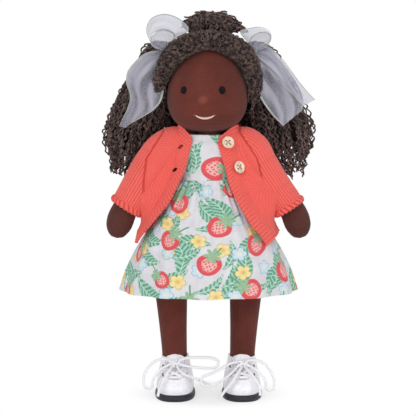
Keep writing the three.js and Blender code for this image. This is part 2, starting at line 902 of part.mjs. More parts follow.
function moved(solid, matrix) {
  return toSolid(toGeometry(solid).applyMatrix4(matrix));
}

function button(which) {
  const holes = buttonHolePlaces.map((place) =>
    disc(buttonHoleRadius, buttonThickness + overrun, place, smallSides).translate(0, 0, -overrun / 2),
  );
  const blank = without(disc(buttonRadius, buttonThickness, [0, 0], bodySides), ...holes);
  return moved(blank, buttonFrame(which, buttonShanks[which]));
}

// Two crossed stitches over the button, with legs down through its holes to the knit.
function buttonThread(which, panel) {
  const over = buttonThickness + gap + buttonThreadRadius;
  const side = buttonHoleOffset;
  const legs = buttonHolePlaces.map(([x, y]) => disc(buttonThreadRadius, over, [x, y], finestSides));
  const bars = [1, -1].map((turn) => {
    const ends = [-side, side].map((x) => [x, x * turn, over]);
    return tubeAlong(ends, buttonThreadRadius, finestSides, side * 2);
  });
  const sewn = joined(...legs, ...bars, ...legs.map((leg) => leg.translate(0, 0, -buttonShanks[which])));
  return mainBody(clearOf(moved(sewn, buttonFrame(which, buttonShanks[which])), panel));
}

function buttonhole(which) {
  const height = cardiganTop - buttonDrops[which];
  const slot = boxBetween(
    [-buttonholeLength / 2, -buttonholeWidth / 2, -knit - gap * 2],
    [buttonholeLength / 2, buttonholeWidth / 2, knit],
  );
  return moved(slot, surfaceFrame(-1, frontEdge(-1, height) + buttonholeInset, height, 0));
}

// Hair

function frontOfHairline() {
  const depth = overrun * 2;
  const block = new THREE.BoxGeometry(depth * 2, depth, depth * 3).translate(0, -depth / 2, 0);
  return toSolid(block.rotateX(hairlineSlope).translate(0, -hairlineForward, chinHeight + hairlineRise));
}

function hairCap() {
  const shell = without(headSolid(gap + capThickness), headSolid(gap));
  const below = boxBetween([-overrun, -overrun, 0], [overrun, overrun, chinHeight + napeRise]);
  return mainBody(without(shell, frontOfHairline(), below));
}

function hairRoll() {
  const foot = chinHeight + rollFootRise;
  const half = rollShares.map(([rise, span, forward, radius]) => ({
    place: new THREE.Vector3(rollHalfSpan * span, -rollForward * forward, foot + rollRise * rise),
    radius: rollRadius * radius,
  }));
  const other = half.slice(0, -1).map(({ place, radius }) => ({
    place: place.clone().setX(-place.x),
    radius,
  }));
  const all = [...half, ...other.reverse()];
  const smooth = new THREE.CatmullRomCurve3(all.map(({ place }) => place));
  const radii = all.map((row, j) => [j / (all.length - 1), row.radius]);
  const count = 2 * (all.length - 1);
  const rings = Array.from({ length: count + 1 }, (_, i) => {
    const share = i / count;
    const along = smooth.getTangent(share);
    const across = along.clone().cross(axisY).normalize();
    const deep = across.clone().cross(along).normalize();
    const [, radius] = rowAt(radii, share);
    return ringOf(smooth.getPoint(share), across, deep, radius, radius, smallSides);
  });
  return capped(rings);
}

const topknotBase = chinHeight + headHeight + gap + capThickness + gap;

function topknot() {
  return capped(
    topknotShares.map(([rise, width, depth, lean]) =>
      levelRing(
        topknotLean * lean,
        topknotBack,
        topknotBase + topknotHeight * rise,
        topknotHalfWidth * width,
        topknotHalfDepth * depth,
        limbSides,
      ),
    ),
  );
}

function hairTie() {
  const [, [neckRise, width, depth]] = topknotShares;
  const half = Math.max(topknotHalfWidth * width, topknotHalfDepth * depth) + gap * 2 + tieRadius;
  const ring = new THREE.TorusGeometry(half, tieRadius, smallSides, limbSides);
  return toSolid(ring.translate(0, topknotBack, topknotBase + (topknotHeight * neckRise) / 2));
}

function locks(shares, side) {
  return capped(
    shares.map(([drop, out, back, width, depth]) =>
      levelRing(
        side * lockHalfSpan * out,
        lockDepth * back,
        lockTop - lockLength * drop,
        lockHalfSpan * width,
        lockDepth * depth,
        limbSides,
      ),
    ),
  );
}

// Ribbon bows

function ribbonStretch(side, rows, rise, thickness) {
  const path = rows.map(
    ([across, along, back]) =>
      new THREE.Vector3(
        side * (bowHalfSpan + bowReach * across),
        ribbonSweep * back - bowForward,
        bowHeight + rise * along,
      ),
  );
  const widths = rows.map(([, , , width]) => ribbonHalfWidth * width);
  const depths = rows.map((_, i) => (i ? thickness : bowStrapHalf[1] / 2));
  return capped(sectionsAlong(path, widths, depths, finestSides));
}

function bowRibbon(side) {
  const shares = side > 0 ? bowShares.left : bowShares.right;
  const strap = ellipsoid(
    [side * bowHalfSpan, -bowForward, bowHeight],
    [...bowStrapHalf, bowKnotHalf[2]],
    finestSides,
    finestSides,
  );
  const loops = shares.loops.map((rows) => ribbonStretch(side, rows, bowRise, loopHalfThickness));
  const tails = shares.tails.map((rows) => ribbonStretch(side, rows, -bowDrop, tailHalfThickness));
  return joined(strap, ...loops, ...tails);
}

// The turn of ribbon that holds a bow together, with the bow drawn through it.
function bowKnot(side, extra) {
  const x = side * bowHalfSpan;
  const half = bowKnotHalf.map((size) => size + extra);
  const bore = bowStrapHalf.map((size) => size + gap - extra);
  const column = [-overrun, overrun].map((z) =>
    levelRing(x, -bowForward, bowHeight + z, ...bore, smallSides),
  );
  const wrap = ellipsoid([x, -bowForward, bowHeight], half, smallSides, finestSides);
  return without(wrap, capped(column));
}

// Legs and feet

function legForm(side, extra, rows) {
  const top = hipHeight - hipSeam;
  return capped(
    rows.map(([drop, width, depth, shift]) => {
      const x = side * (legSpread + (ankleSpread - legSpread) * shift);
      const halves = [thighHalfWidth * width, thighHalfDepth * depth];
      const grown = halves.map((half) => Math.max(half + extra, seamSlit));
      return levelRing(x, 0, top - legLength * drop, ...grown, limbSides);
    }),
  );
}

function footForm(side, extra) {
  const half = footHalf.map((size) => size + extra);
  return ellipsoid([side * ankleSpread, -footForward, footHeight], half);
}

function legSolid(side, extra, rows = legShares) {
  return joined(legForm(side, extra, rows), footForm(side, extra));
}

const legInsideRows = [...legShares.slice(0, -1), legShares.at(-1).with(0, heelInsideShare)];

function legCover(side) {
  const opening = [legShares[0].with(0, -overrun / legLength), ...legInsideRows];
  return without(legSolid(side, 0), legSolid(side, -skin, opening));
}

function legStuffing(side) {
  return legSolid(side, -skin - gap, legInsideRows.slice(1));
}

// Shoes

function shoeOutline(toe, heel, halfWidth, count) {
  return Array.from({ length: count }, (_, j) => {
    const turn = (2 * Math.PI * j) / count;
    const along = -Math.cos(turn);
    const y = (heel - toe) / 2 + ((heel + toe) / 2) * along;
    const narrow = 1 - (heelNarrowShare * (along + 1)) / 2;
    const sine = Math.sin(turn);
    return [halfWidth * narrow * Math.sign(sine) * Math.abs(sine) ** outlineFullnessShare, y];
  });
}

function shoeSole(side) {
  const outline = shoeOutline(soleToe, soleHeel, soleHalfWidth, shoeSides);
  return capped(
    [0, soleThickness].map((z) => outline.map(([x, y]) => new THREE.Vector3(side * shoeSpread + x, y, z))),
  );
}

const upperFoot = soleThickness + gap;
const upperRows = upperShares.map(([rise, toe, heel, width]) => [
  upperFoot + upperHeight * rise,
  soleToe * toe,
  soleHeel * heel,
  soleHalfWidth * width,
]);

function upperForm(side, extra, rows) {
  return capped(
    rows.map(([z, toe, heel, width]) =>
      shoeOutline(toe + extra, heel + extra, width + extra, shoeSides).map(
        ([x, y]) => new THREE.Vector3(side * shoeSpread + x, y, z),
      ),
    ),
  );
}

// How far forward the upper's front lies at a distance from its middle.
function upperFront(x, z) {
  const [, toe, heel, width] = rowAt(upperRows, z);
  const sine = Math.min((Math.abs(x) / width) ** (1 / outlineFullnessShare), 1);
  return (heel - toe) / 2 - ((heel + toe) / 2) * Math.sqrt(1 - sine ** 2);
}

function upperShell(side) {
  const first = upperRows[0].with(0, -overrun);
  const last = upperRows.at(-1).with(0, upperFoot + upperHeight + overrun);
  const inside = upperForm(side, -upperThickness, [first, ...upperRows, last]);
  return without(upperForm(side, 0, upperRows), inside);
}

function acrossShoe(side, halfWidth, low, high, depth) {
  const middle = side * shoeSpread;
  return boxBetween([middle - halfWidth, -depth, low], [middle + halfWidth, 0, high]);
}

const collarHeight = upperFoot + upperHeight;

function vampSide(side, distance) {
  const size = overrun * 2;
  const block = new THREE.BoxGeometry(size, size, size * 2).translate(0, -size / 2, 0);
  block.rotateX(vampSlope).translate(side * shoeSpread, -vampBack + distance, upperFoot);
  return toSolid(block);
}

function shoeVamp(side) {
  const throat = acrossShoe(side, throatHalfWidth, throatHeight, collarHeight + overrun, overrun);
  return mainBody(without(upperShell(side).intersect(vampSide(side, 0)), throat));
}

function shoeQuarters(side) {
  const throat = acrossShoe(side, throatHalfWidth, throatHeight, collarHeight + overrun, overrun);
  const eyelets = eyeletHeights.flatMap((z) =>
    [-1, 1].map((way) => {
      const x = side * shoeSpread + way * eyeletHalfSpan;
      const bore = new THREE.CylinderGeometry(eyeletRadius, eyeletRadius, overrun, smallSides);
      return toSolid(bore.translate(x, -overrun / 2, z));
    }),
  );
  return mainBody(without(upperShell(side), vampSide(side, gap), throat, ...eyelets));
}

function shoeTongue(side) {
  const extra = -upperThickness - gap;
  const top = collarHeight + tongueRise;
  const rows = [...upperRows, upperRows.at(-1).with(0, top)];
  const first = rows[0].with(0, -overrun);
  const last = rows.at(-1).with(0, top + overrun);
  const inside = upperForm(side, extra - tongueThickness, [first, ...rows, last]);
  const strip = acrossShoe(side, tongueHalfWidth, throatHeight - tongueOverlap, top + overrun, overrun);
  return mainBody(without(upperForm(side, extra, rows), inside).intersect(strip));
}

// Lacing

function laceOver(side, from, to) {
  const points = crossingShares.map((share) => {
    const x = from[0] + (to[0] - from[0]) * share;
    const z = from[1] + (to[1] - from[1]) * share;
    return [side * shoeSpread + x, upperFront(x, z) - laceRadius - laceStandOff, z];
  });
  return tubeAlong(points, laceRadius, finestSides, laceStepLength);
}

function laceKnot(side) {
  const y = upperFront(0, laceKnotHeight) - laceKnotHalf[1];
  return ellipsoid([side * shoeSpread, y, laceKnotHeight], laceKnotHalf, smallSides, finestSides);
}

function lacing(side) {
  const [low, high] = eyeletHeights;
  const span = eyeletHalfSpan;
  const runs = [
    [[-span, low], [span, low]],
    [[-span, low], [span, high]],
    [[span, low], [-span, high]],
    [[-span, high], [0, laceKnotHeight]],
    [[span, high], [0, laceKnotHeight]],
  ];
  return joined(laceKnot(side), ...runs.map(([from, to]) => laceOver(side, from, to)));
}

// The whole doll

addPart("torso_cover", "skin", torsoCover());
addPart("torso_stuffing", "stuffing", torsoStuffing());
const bodice = dressBodice();
addPart("dress_bodice", "cotton", bodice);
addPart("dress_skirt", "cotton", dressSkirt());

const swings = [1, -1].map((side) => sleeveSpace(side));
const cardiganPieces = {
  cardigan_back: backPanel(),
  cardigan_left_front: frontPanel(1),
  cardigan_right_front: without(frontPanel(-1), buttonhole("upper"), buttonhole("lower")),
};
for (const [name, panel] of Object.entries(cardiganPieces)) {
  cardiganPieces[name] = mainBody(without(panel, ...swings));
  addPart(name, "knit", cardiganPieces[name]);
}
for (const which of ["upper", "lower"]) {
  addPart("button_" + which, "wood", button(which));
  addPart("button_thread_" + which, "redThread", buttonThread(which, cardiganPieces.cardigan_left_front));
}

addPart("neck", "skin", joined(neckBall, neckColumn(neckRadius, neckPivotHeight, neckTop)));
addPart("head_cover", "skin", headCover());
addPart("head_stuffing", "stuffing", headStuffing());
addPart("eye_left", "blackThread", eye(1));
addPart("eye_right", "blackThread", eye(-1));
addPart("mouth", "whiteThread", mouth());

const cap = hairCap();
const roll = clearOf(hairRoll(), headForm, cap);
const knotTop = clearOf(topknot(), roll);
const tie = hairTie();
addPart("hair_cap", "hair", cap);
addPart("hair_front_roll", "hair", mainBody(roll));
addPart("hair_topknot", "hair", mainBody(knotTop));
addPart("hair_tie", "elastic", tie);

const backHair = mainBody(clearOf(locks(backLockShares, 0), cap, cardiganPieces.cardigan_back, headForm));
addPart("hair_back_locks", "hair", backHair);

for (const [name, side] of [["left", 1], ["right", -1]]) {
  const cuff = sleeve(side);
  addPart(name + "_arm_cover", "skin", armCover(side));
  addPart(name + "_arm_stuffing", "stuffing", armStuffing(side));
  addPart(name + "_sleeve", "knit", cuff);

  const wrap = mainBody(clearOf(bowKnot(side, 0), roll));
  const ribbonBow = mainBody(clearOf(without(bowRibbon(side), bowKnot(side, gap)), roll, knotTop));
  const hairAtSide = clearOf(
    locks(sideLockShares, side),
    cap,
    roll,
    headForm,
    backHair,
    cuff,
    cardiganPieces.cardigan_back,
    wrap,
    ribbonBow,
    knotTop,
  );
  addPart("hair_" + name + "_locks", "hair", mainBody(hairAtSide));
  addPart(name + "_bow_ribbon", "ribbon", ribbonBow);
  addPart(name + "_bow_knot", "ribbon", wrap);

  const vamp = shoeVamp(side);
  const quarters = shoeQuarters(side);
  const tongue = clearOf(shoeTongue(side), legSolid(side, 0));
  const crossing = lacing(side);
  addPart(name + "_leg_cover", "skin", legCover(side));
  addPart(name + "_leg_stuffing", "stuffing", legStuffing(side));
  addPart(name + "_shoe_sole", "sole", shoeSole(side));
  addPart(name + "_shoe_vamp", "patent", vamp);
  addPart(name + "_shoe_quarters", "patent", quarters);
  addPart(name + "_shoe_tongue", "patent", mainBody(tongue));
  addPart(name + "_lace_crossing", "lace", crossing);
  for (const [stretch, route] of Object.entries(laceRoutes[name])) {
    const free = mainBody(clearOf(tubeAlong(route, laceRadius), laceKnot(side)));
    addPart(name + "_lace_" + stretch, "lace", free);
  }
}

export default doll;
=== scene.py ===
# %% [markdown]
# # A cloth doll, dressed
#
# The doll is a stuffed figure of brushed cotton jersey with yarn hair. She wears a printed cotton dress,
# a hand-knitted cardigan, organza hair ribbons and small lace-up shoes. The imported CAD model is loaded
# first and stays fixed: it says where each piece is and which body it moves with. The cells below dress
# it, one piece at a time, in metres, with the doll facing -Y and her left side at +X.

# %% The fixed frame
import math

import bmesh
import bpy
import numpy as np
from mathutils import Matrix, Vector


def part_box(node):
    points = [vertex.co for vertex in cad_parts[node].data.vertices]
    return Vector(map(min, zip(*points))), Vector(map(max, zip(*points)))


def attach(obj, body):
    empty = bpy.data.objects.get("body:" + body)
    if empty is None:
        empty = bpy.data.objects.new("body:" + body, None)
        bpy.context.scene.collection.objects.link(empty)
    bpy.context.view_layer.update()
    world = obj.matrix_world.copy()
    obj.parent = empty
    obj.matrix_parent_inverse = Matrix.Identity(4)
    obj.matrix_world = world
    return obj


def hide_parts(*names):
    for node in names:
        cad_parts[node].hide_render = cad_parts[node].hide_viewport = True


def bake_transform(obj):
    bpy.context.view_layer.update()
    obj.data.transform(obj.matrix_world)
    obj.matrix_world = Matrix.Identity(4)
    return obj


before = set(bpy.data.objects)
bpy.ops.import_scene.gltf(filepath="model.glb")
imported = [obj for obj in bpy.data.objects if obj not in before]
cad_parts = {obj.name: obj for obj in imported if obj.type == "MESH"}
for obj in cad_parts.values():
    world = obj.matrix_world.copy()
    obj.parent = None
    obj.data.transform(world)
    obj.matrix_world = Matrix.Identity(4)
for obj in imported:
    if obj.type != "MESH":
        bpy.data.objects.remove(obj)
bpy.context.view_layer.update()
scene = bpy.context.scene
MM = 0.001
SIDES = {"left": 1, "right": -1}

# %% [markdown]
# ## Camera
#
# The picture was taken from a little over a metre away, slightly above the doll's middle. A long lens
# at that distance keeps the head and the shoes in proportion, where a close wide lens would swell
# whatever is nearest.

# %% Camera
CAMERA_X = -0.0005
camera = bpy.data.objects.new("camera", bpy.data.cameras.new("camera"))
scene.collection.objects.link(camera)
scene.camera = camera
camera.location = (CAMERA_X, -1.35, 0.33)
aim = Vector((CAMERA_X, 0, 0.189)) - camera.location
camera.rotation_euler = aim.to_track_quat("-Z", "Y").to_euler()
camera.data.sensor_width = 36
camera.data.lens = 117.4
print("camera", round(aim.length, 3), "m from its aim")

# %% [markdown]
# ## Small helpers for paths and tables
#
# Most pieces here are smooth shapes through a few measured places: a limb is a row of half widths, a
# ribbon edge is a row of points. Two functions do this. One runs a curve through points, and the other
# reads a table at any height. Both use the same cubic, so nothing has a corner where it shouldn't. The
# last function says what each piece is to the doll: its finish, its body and the CAD nodes it shows.


# %% Paths and tables
def read_table(rows, place):
    """Smooth values from a table at each place. The first column says where a row stands, and rises."""
    rows = np.array(rows, float)
    stand, values = rows[:, 0], rows[:, 1:]
    slopes = np.gradient(values, stand, axis=0)
    place = np.atleast_1d(np.asarray(place, float))
    low = np.clip(np.searchsorted(stand, place) - 1, 0, len(stand) - 2)
    span = (stand[low + 1] - stand[low])[:, None]
    t = np.clip((place - stand[low])[:, None] / span, 0, 1)
    start, end = values[low], values[low + 1]
    rise = (2 * t**3 - 3 * t**2 + 1) * start + (3 * t**2 - 2 * t**3) * end
    return rise + span * ((t**3 - 2 * t**2 + t) * slopes[low] + (t**3 - t**2) * slopes[low + 1])


def steps_along(points):
    """How far along its path each point is."""
    return np.concatenate([[0], np.cumsum(np.linalg.norm(np.diff(points, axis=0), axis=1))])


def at(places, stand, points):
    """Points of a path at given places on its scale, by straight lines."""
    return np.column_stack([np.interp(places, stand, points[:, i]) for i in range(points.shape[1])])


def path_through(points, count):
    """That many points, evenly spaced, on a smooth path through the given ones."""
    points = np.array(points, float)
    stand = steps_along(points)
    fine = read_table(np.column_stack([stand, points]), np.linspace(0, stand[-1], 40 * len(points)))
    run = steps_along(fine)
    return at(np.linspace(0, run[-1], count), run, fine)


def soft_step(low, high, value):
    t = np.clip((value - low) / (high - low), 0, 1)
    return t * t * (3 - 2 * t)


def near(value, width):
    """1 where the value is zero, falling away over a width on both sides."""
    return np.exp(-((value / width) ** 2))


def unit(vectors):
    return vectors / np.maximum(np.linalg.norm(vectors, axis=-1, keepdims=True), 1e-12)


def shown(name, data):
    made = bpy.data.objects.new(name, data)
    scene.collection.objects.link(made)
    return made


def settled(piece):
    """A new mesh of the piece as its settings and modifiers make it."""
    bpy.context.view_layer.update()
    return bpy.data.meshes.new_from_object(piece.evaluated_get(bpy.context.evaluated_depsgraph_get()))


def cords_of(name, paths, radius, sides=0, radii=None):
    """A mesh with one round cord for each path. More sides make it rounder."""
    data = bpy.data.curves.new(name, "CURVE")
    data.dimensions = "3D"
    data.bevel_depth = radius
    data.bevel_resolution = sides
    data.use_fill_caps = True
    for i, path in enumerate(paths):
        line = data.splines.new("POLY")
        line.points.add(len(path) - 1)
        line.points.foreach_set("co", np.column_stack([path, np.ones(len(path))]).ravel())
        line.use_smooth = True
        if radii is not None:
            line.points.foreach_set("radius", radii[i])
    curve = shown(name, data)
    mesh = settled(curve)
    bpy.data.objects.remove(curve)
    bpy.data.curves.remove(data)
    mesh.name = name
    mesh.materials.clear()
    return shown(name, mesh)


def dressed(finish, *pieces):
    """Gives one finish to each piece, or to each slot of a CAD node."""
    for piece in pieces:
        slots = piece.data.materials
        if not slots:
            slots.append(finish)
        for i in range(len(slots)):
            slots[i] = finish


def worn(piece, finish, body, slot, *nodes):
    """The piece has a finish, moves with a body given by its name, and stands for CAD nodes. Any other body is not
    followed, and the piece stays where it was made.
    """
    if finish:
        dressed(finish, piece)
    if isinstance(body, str):
        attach(piece, body)
    else:
        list(body)
        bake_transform(piece)
    if nodes:
        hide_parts(*nodes)
    return piece

# %% [markdown]
# ## Laces
#
# Each shoe is tied with one round cotton lace in a bow. The lace is limp: its two loops and two tails leave the
# knot, arch out over the shoe's side and fall to the floor. Each free stretch is one cord along the same route as
# its CAD solid, and the laces are made before anything else.

# %% Lace cords
LACE = 2.8 * MM
LACE_ROUTES = {
    "right": {
        "outer_loop": [
            (-36, -22, 37.5), (-43, -25, 41), (-52, -26, 39), (-61, -26, 31), (-64.5, -27, 21),
            (-62, -27.5, 12), (-57, -27.5, 12), (-55, -27, 20), (-48, -26.5, 30), (-36, -23.5, 36),
        ],
        "inner_loop": [
            (-31, -22, 38), (-22, -24, 41.5), (-8, -24, 42), (3, -24, 41.5), (10, -24, 38),
            (8.5, -24.5, 33), (0, -25, 31.5), (-11, -26, 32.5), (-22, -26.5, 34), (-31, -24, 36),
        ],
        "outer_tail": [
            (-35.5, -25.5, 34), (-39.5, -33, 30), (-44, -36, 22), (-48, -39, 14), (-50, -42, 7),
        ],
        "inner_tail": [(-31.5, -25.5, 34), (-27, -32, 29), (-17, -32, 24), (-7, -29, 19.5), (0.5, -27, 15)],
    },
    "left": {
        "outer_loop": [
            (36, -22, 37.5), (44, -25, 40), (54, -26, 37), (62, -26, 28), (65.5, -27, 17),
            (63, -27.5, 9), (58.5, -27.5, 10.5), (56.5, -27, 19), (49, -26.5, 28.5), (36, -23.5, 36),
        ],
        "inner_loop": [
            (31, -22, 37.5), (23, -26, 37), (12, -29, 31.5), (2, -31, 27), (-7, -32, 22.5),
            (-7, -32, 17), (1, -32, 15.5), (11, -31.5, 19), (21, -30, 26), (31, -24, 35),
        ],
        "outer_tail": [(35.5, -25.5, 34), (40, -33, 30), (46, -36, 23), (50, -39, 15), (51, -42, 8)],
        "inner_tail": [(33, -25.5, 33), (29, -33.5, 29), (23, -38, 20), (16, -40, 12), (11, -42, 5)],
    },
}
laces = []
for side, routes in LACE_ROUTES.items():
    for stretch, route in routes.items():
        path = path_through(np.array(route) * MM, 36)
        length = float(steps_along(path)[-1])
        lace = cords_of(f"{side}_shoe_lace_{stretch}", [path], LACE / 2, sides=3)
        worn(lace, None, side + "_leg", "lace", f"{side}_lace_{stretch}")
        "object" if "loop" in stretch else "bare"
        laces.append(lace)
        print(lace.name, round(length * 1000), "mm long")

# %% [markdown]
# ## Shader arithmetic
#
# Cloth patterns are sums of waves, noise and distances. Written node by node they are long and hard to
# read, so a small class lets Python's own signs make the Math nodes. Effects that several cloths share,
# such as loose fibre on the surface, are node groups that each material uses with its own values.
# Colours are written as a picture gives them, in 0 to 255.


# %% Shader arithmetic
class Wire:
    """A value in a shader tree that changes over the surface."""

    def __init__(self, source):
        self.source = source
        self.tree = source.id_data

    def math(self, operation, *others):
        return placed(self.tree, "Math", dict(enumerate((self, *others))), operation=operation)

    def ramp(self, low, high, to_low=0.0, to_high=1.0):
        values = dict(enumerate((self, low, high, to_low, to_high)))
        return placed(self.tree, "MapRange", values, interpolation_type="SMOOTHSTEP")

    def __rsub__(self, other):
        return self * -1 + other


def math_method(operation):
    return lambda self, *others: self.math(operation, *others)


SIGNS = {
    "__add__": "ADD", "__radd__": "ADD", "__sub__": "SUBTRACT", "__mul__": "MULTIPLY", "__rmul__": "MULTIPLY",
    "__truediv__": "DIVIDE", "__abs__": "ABSOLUTE", "sine": "SINE", "cosine": "COSINE", "over": "MAXIMUM",
    "under": "MINIMUM", "root": "SQRT", "whole": "FLOOR", "part": "FRACT", "angle": "ARCTAN2",
}
for sign, operation in SIGNS.items():
    setattr(Wire, sign, math_method(operation))


def placed(tree, kind, values, output=0, **settings):
    """A new node with these settings and values in its inputs. Returns one of its outputs."""
    node = tree.nodes.new("ShaderNode" + kind)
    for label, value in settings.items():
        setattr(node, label, value)
    for label, value in values.items():
        feed(node.inputs[label], value)
    return Wire(node.outputs[output])


def tint(red, green, blue):
    """A colour given in the 0 to 255 of a picture, made linear."""
    values = np.array([red, green, blue]) / 255
    low, high = values / 12.92, ((values + 0.055) / 1.055) ** 2.4
    return tuple(float(value) for value in np.where(values <= 0.04045, low, high))


def feed(socket, value):
    """Links a wire or a socket, or sets a plain value. Three numbers for a colour are those of a picture."""
    if isinstance(value, Wire):
        value = value.source
    if isinstance(value, bpy.types.NodeSocket):
        socket.id_data.links.new(value, socket)
    elif socket.type == "RGBA":
        socket.default_value = (*tint(*value), 1)
    else:
        socket.default_value = value


def split(vector):
    first = placed(vector.tree, "SeparateXYZ", {0: vector})
    return [Wire(output) for output in first.source.node.outputs]


def joined(x, y, z=0.0):
    return placed(x.tree, "CombineXYZ", {0: x, 1: y, 2: z})


def scaled(vector, scale):
    """The vector times three numbers."""
    return placed(vector.tree, "Mapping", {"Vector": vector, "Scale": scale})


def mixed(factor, low, high):
    """A colour between low and high."""
    return placed(factor.tree, "Mix", {"Factor": factor, 6: low, 7: high}, 2, data_type="RGBA")


def noise(vector, scale, detail=2.0, roughness=0.5):
    values = {"Vector": vector, "Scale": scale, "Detail": detail, "Roughness": roughness}
    return placed(vector.tree, "TexNoise", values, "Fac")


def coordinates(tree, kind="Object"):
    return placed(tree, "TexCoord", {}, kind)


def attribute(tree, name):
    return placed(tree, "Attribute", {}, "Fac", attribute_name=name)


def effect(name, inputs, outputs, build):
    """A node group. Inputs and outputs give each socket's kind."""
    group = bpy.data.node_groups.new(name, "ShaderNodeTree")
    for way, sockets in (("INPUT", inputs), ("OUTPUT", outputs)):
        for label, kind in sockets.items():
            group.interface.new_socket(label, in_out=way, socket_type="NodeSocket" + kind)
    entry = group.nodes.new("NodeGroupInput")
    leave = group.nodes.new("NodeGroupOutput")
    given = {socket.name: Wire(socket) for socket in entry.outputs if socket.name}
    for label, value in build(given).items():
        feed(leave.inputs[label], value)
    return group


def use(group, **values):
    """Places an effect in the tree of its Vector and returns its outputs by name."""
    first = placed(values["Vector"].tree, "Group", values, node_tree=group)
    return {output.name: Wire(output) for output in first.source.node.outputs}


def finish_of(name, build, **shader):
    """A Principled material. build(tree) returns what feeds its sockets, with a Height for its relief."""
    made = bpy.data.materials.new(name)
    made.use_nodes = True
    tree = made.node_tree
    principled = tree.nodes["Principled BSDF"]
    wired = build(tree)
    relief = {"Strength": 1, "Distance": wired.pop("Depth"), "Height": wired.pop("Height")}
    wired["Normal"] = placed(tree, "Bump", relief)
    for label, value in {**shader, **wired}.items():
        feed(principled.inputs[label.replace("_", " ")], value)
    return made


# %% Effects that several cloths share
def build_fibre(given):
    """Loose fibre on a cloth: a grain and a cloud that break up its colour, and a low relief."""
    grain = noise(given["Vector"], 1500, 3, 0.65)
    cloud = noise(given["Vector"], 55, 3, 0.5)
    shade = (grain - 0.5) * given["Grain"] + (cloud - 0.5) * given["Cloud"]
    share = (shade + given["Share"]).ramp(0, 1)
    return {"Colour": mixed(share, given["Dark"], given["Light"]), "Height": grain}


def build_jersey(given):
    """Fine machine knit: wales along the cloth, crossed by courses."""
    x, y, _ = split(given["Vector"])
    wale = abs((x / given["Wale"] * math.pi).sine())
    course = (y / given["Course"] * (2 * math.pi) + wale * 1.4).sine() * 0.5 + 0.5
    return {"Height": wale * 0.6 + course * 0.4}


def build_weave(given):
    """Plain weave: threads over and under each other, with thicker places along them."""
    x, y, _ = split(given["Vector"])
    over = (x / given["Pitch"] * math.pi).sine() * (y / given["Pitch"] * math.pi).sine()
    slub = noise(scaled(given["Vector"], (1, 9, 1)), 150, 2, 0.6)
    return {"Height": over * 0.5 + 0.5, "Slub": slub}


VECTOR, COLOUR, FLOAT = "Vector", "Color", "Float"
fibre = effect(
    "loose fibre",
    {"Vector": VECTOR, "Dark": COLOUR, "Light": COLOUR, "Share": FLOAT, "Grain": FLOAT, "Cloud": FLOAT},
    {"Colour": COLOUR, "Height": FLOAT},
    build_fibre,
)
jersey = effect(
    "fine jersey", {"Vector": VECTOR, "Wale": FLOAT, "Course": FLOAT}, {"Height": FLOAT}, build_jersey
)
weave = effect("plain weave", {"Vector": VECTOR, "Pitch": FLOAT}, {"Height": FLOAT, "Slub": FLOAT}, build_weave)


def fibrous(vector, dark, light, share, grain, cloud):
    return use(fibre, Vector=vector, Dark=dark, Light=light, Share=share, Grain=grain, Cloud=cloud)


def yarn_of(name, dark, light, look, grain, cloud, depth, **shader):
    """A finish of yarn or thread between two colours. look(place) gives its light share and its relief."""

    def build(tree):
        place = coordinates(tree)
        share, height = look(place)
        tone = fibrous(place, dark, light, share, grain, cloud)
        return {"Base Color": tone["Colour"], "Height": height, "Depth": depth}

    return finish_of(name, build, **shader)


def ridges(place, x_rate, y_rate, z_rate):
    """Slanting ridges from 0 to 1, as the turns of a thread."""
    x, y, z = split(place)
    return (x * x_rate + y * y_rate + z * z_rate).sine() * 0.5 + 0.5


print("effects:", ", ".join(group.name for group in bpy.data.node_groups))

# %% [markdown]
# ## Light and floor
#
# The light is that of a plain studio: a large soft lamp from the upper left, weaker ones from the
# right, behind and low in front, and an even surround, so that a colour shows about as it is written.
# The white behind the doll belongs to the world and the floor as the camera sees them, and doesn't add
# to the light on her.

# %% Light and floor
AMBIENT = 0.62
LAMPS = {
    "key": ((-1.1, -1.9, 1.5), 1.3, 15, 0.2),
    "fill": ((1.5, -1.6, 0.7), 1.6, 8.5, 0.2),
    "back": ((0.3, 1.6, 1.5), 1.4, 6, 0.2),
    "low": ((0.25, -1.5, 0.14), 0.5, 2.4, 0.03),
}
scene.view_settings.view_transform = "Standard"
for name, (place, size, power, aimed_at) in LAMPS.items():
    data = bpy.data.lights.new(name, "AREA")
    data.shape = "DISK"
    data.size = size
    data.energy = power
    lamp = shown(name, data)
    lamp.location = place
    lamp.rotation_euler = (Vector((0, 0, aimed_at)) - Vector(place)).to_track_quat("-Z", "Y").to_euler()


def seen_directly(tree):
    """1 for what the camera sees itself, by mirror or through something clear."""
    kinds = [placed(tree, "LightPath", {}, f"Is {kind} Ray") for kind in ("Camera", "Glossy", "Transmission")]
    return kinds[0].over(kinds[1]).over(kinds[2])


world = bpy.data.worlds.new("studio")
world.use_nodes = True
scene.world = world
surround = world.node_tree.nodes["Background"]
feed(surround.inputs["Color"], (255, 255, 255))
feed(surround.inputs["Strength"], seen_directly(world.node_tree) * (1 - AMBIENT) + AMBIENT)

bm = bmesh.new()
bmesh.ops.create_circle(bm, cap_ends=True, segments=64, radius=4)
floor_mesh = bpy.data.meshes.new("floor")
bm.to_mesh(floor_mesh)
bm.free()
shown("floor", floor_mesh)
paper = bpy.data.materials.new("studio_paper")
paper.use_nodes = True
tree = paper.node_tree
surface = tree.nodes["Principled BSDF"]
surface.inputs["Base Color"].default_value = (0.86, 0.86, 0.87, 1)
surface.inputs["Roughness"].default_value = 0.8
x, y, _ = split(coordinates(tree))
away = (x * x * 0.55 + y * y).root().ramp(0.032, 0.066, 0.62, 1)
glow = tree.nodes.new("ShaderNodeEmission")
mix = placed(tree, "MixShader", {0: away * seen_directly(tree), 1: surface.outputs[0], 2: glow.outputs[0]})
feed(tree.nodes["Material Output"].inputs["Surface"], mix)
floor_mesh.materials.append(paper)
print(len(LAMPS), "lamps, a surround of", AMBIENT, "and a pale floor")

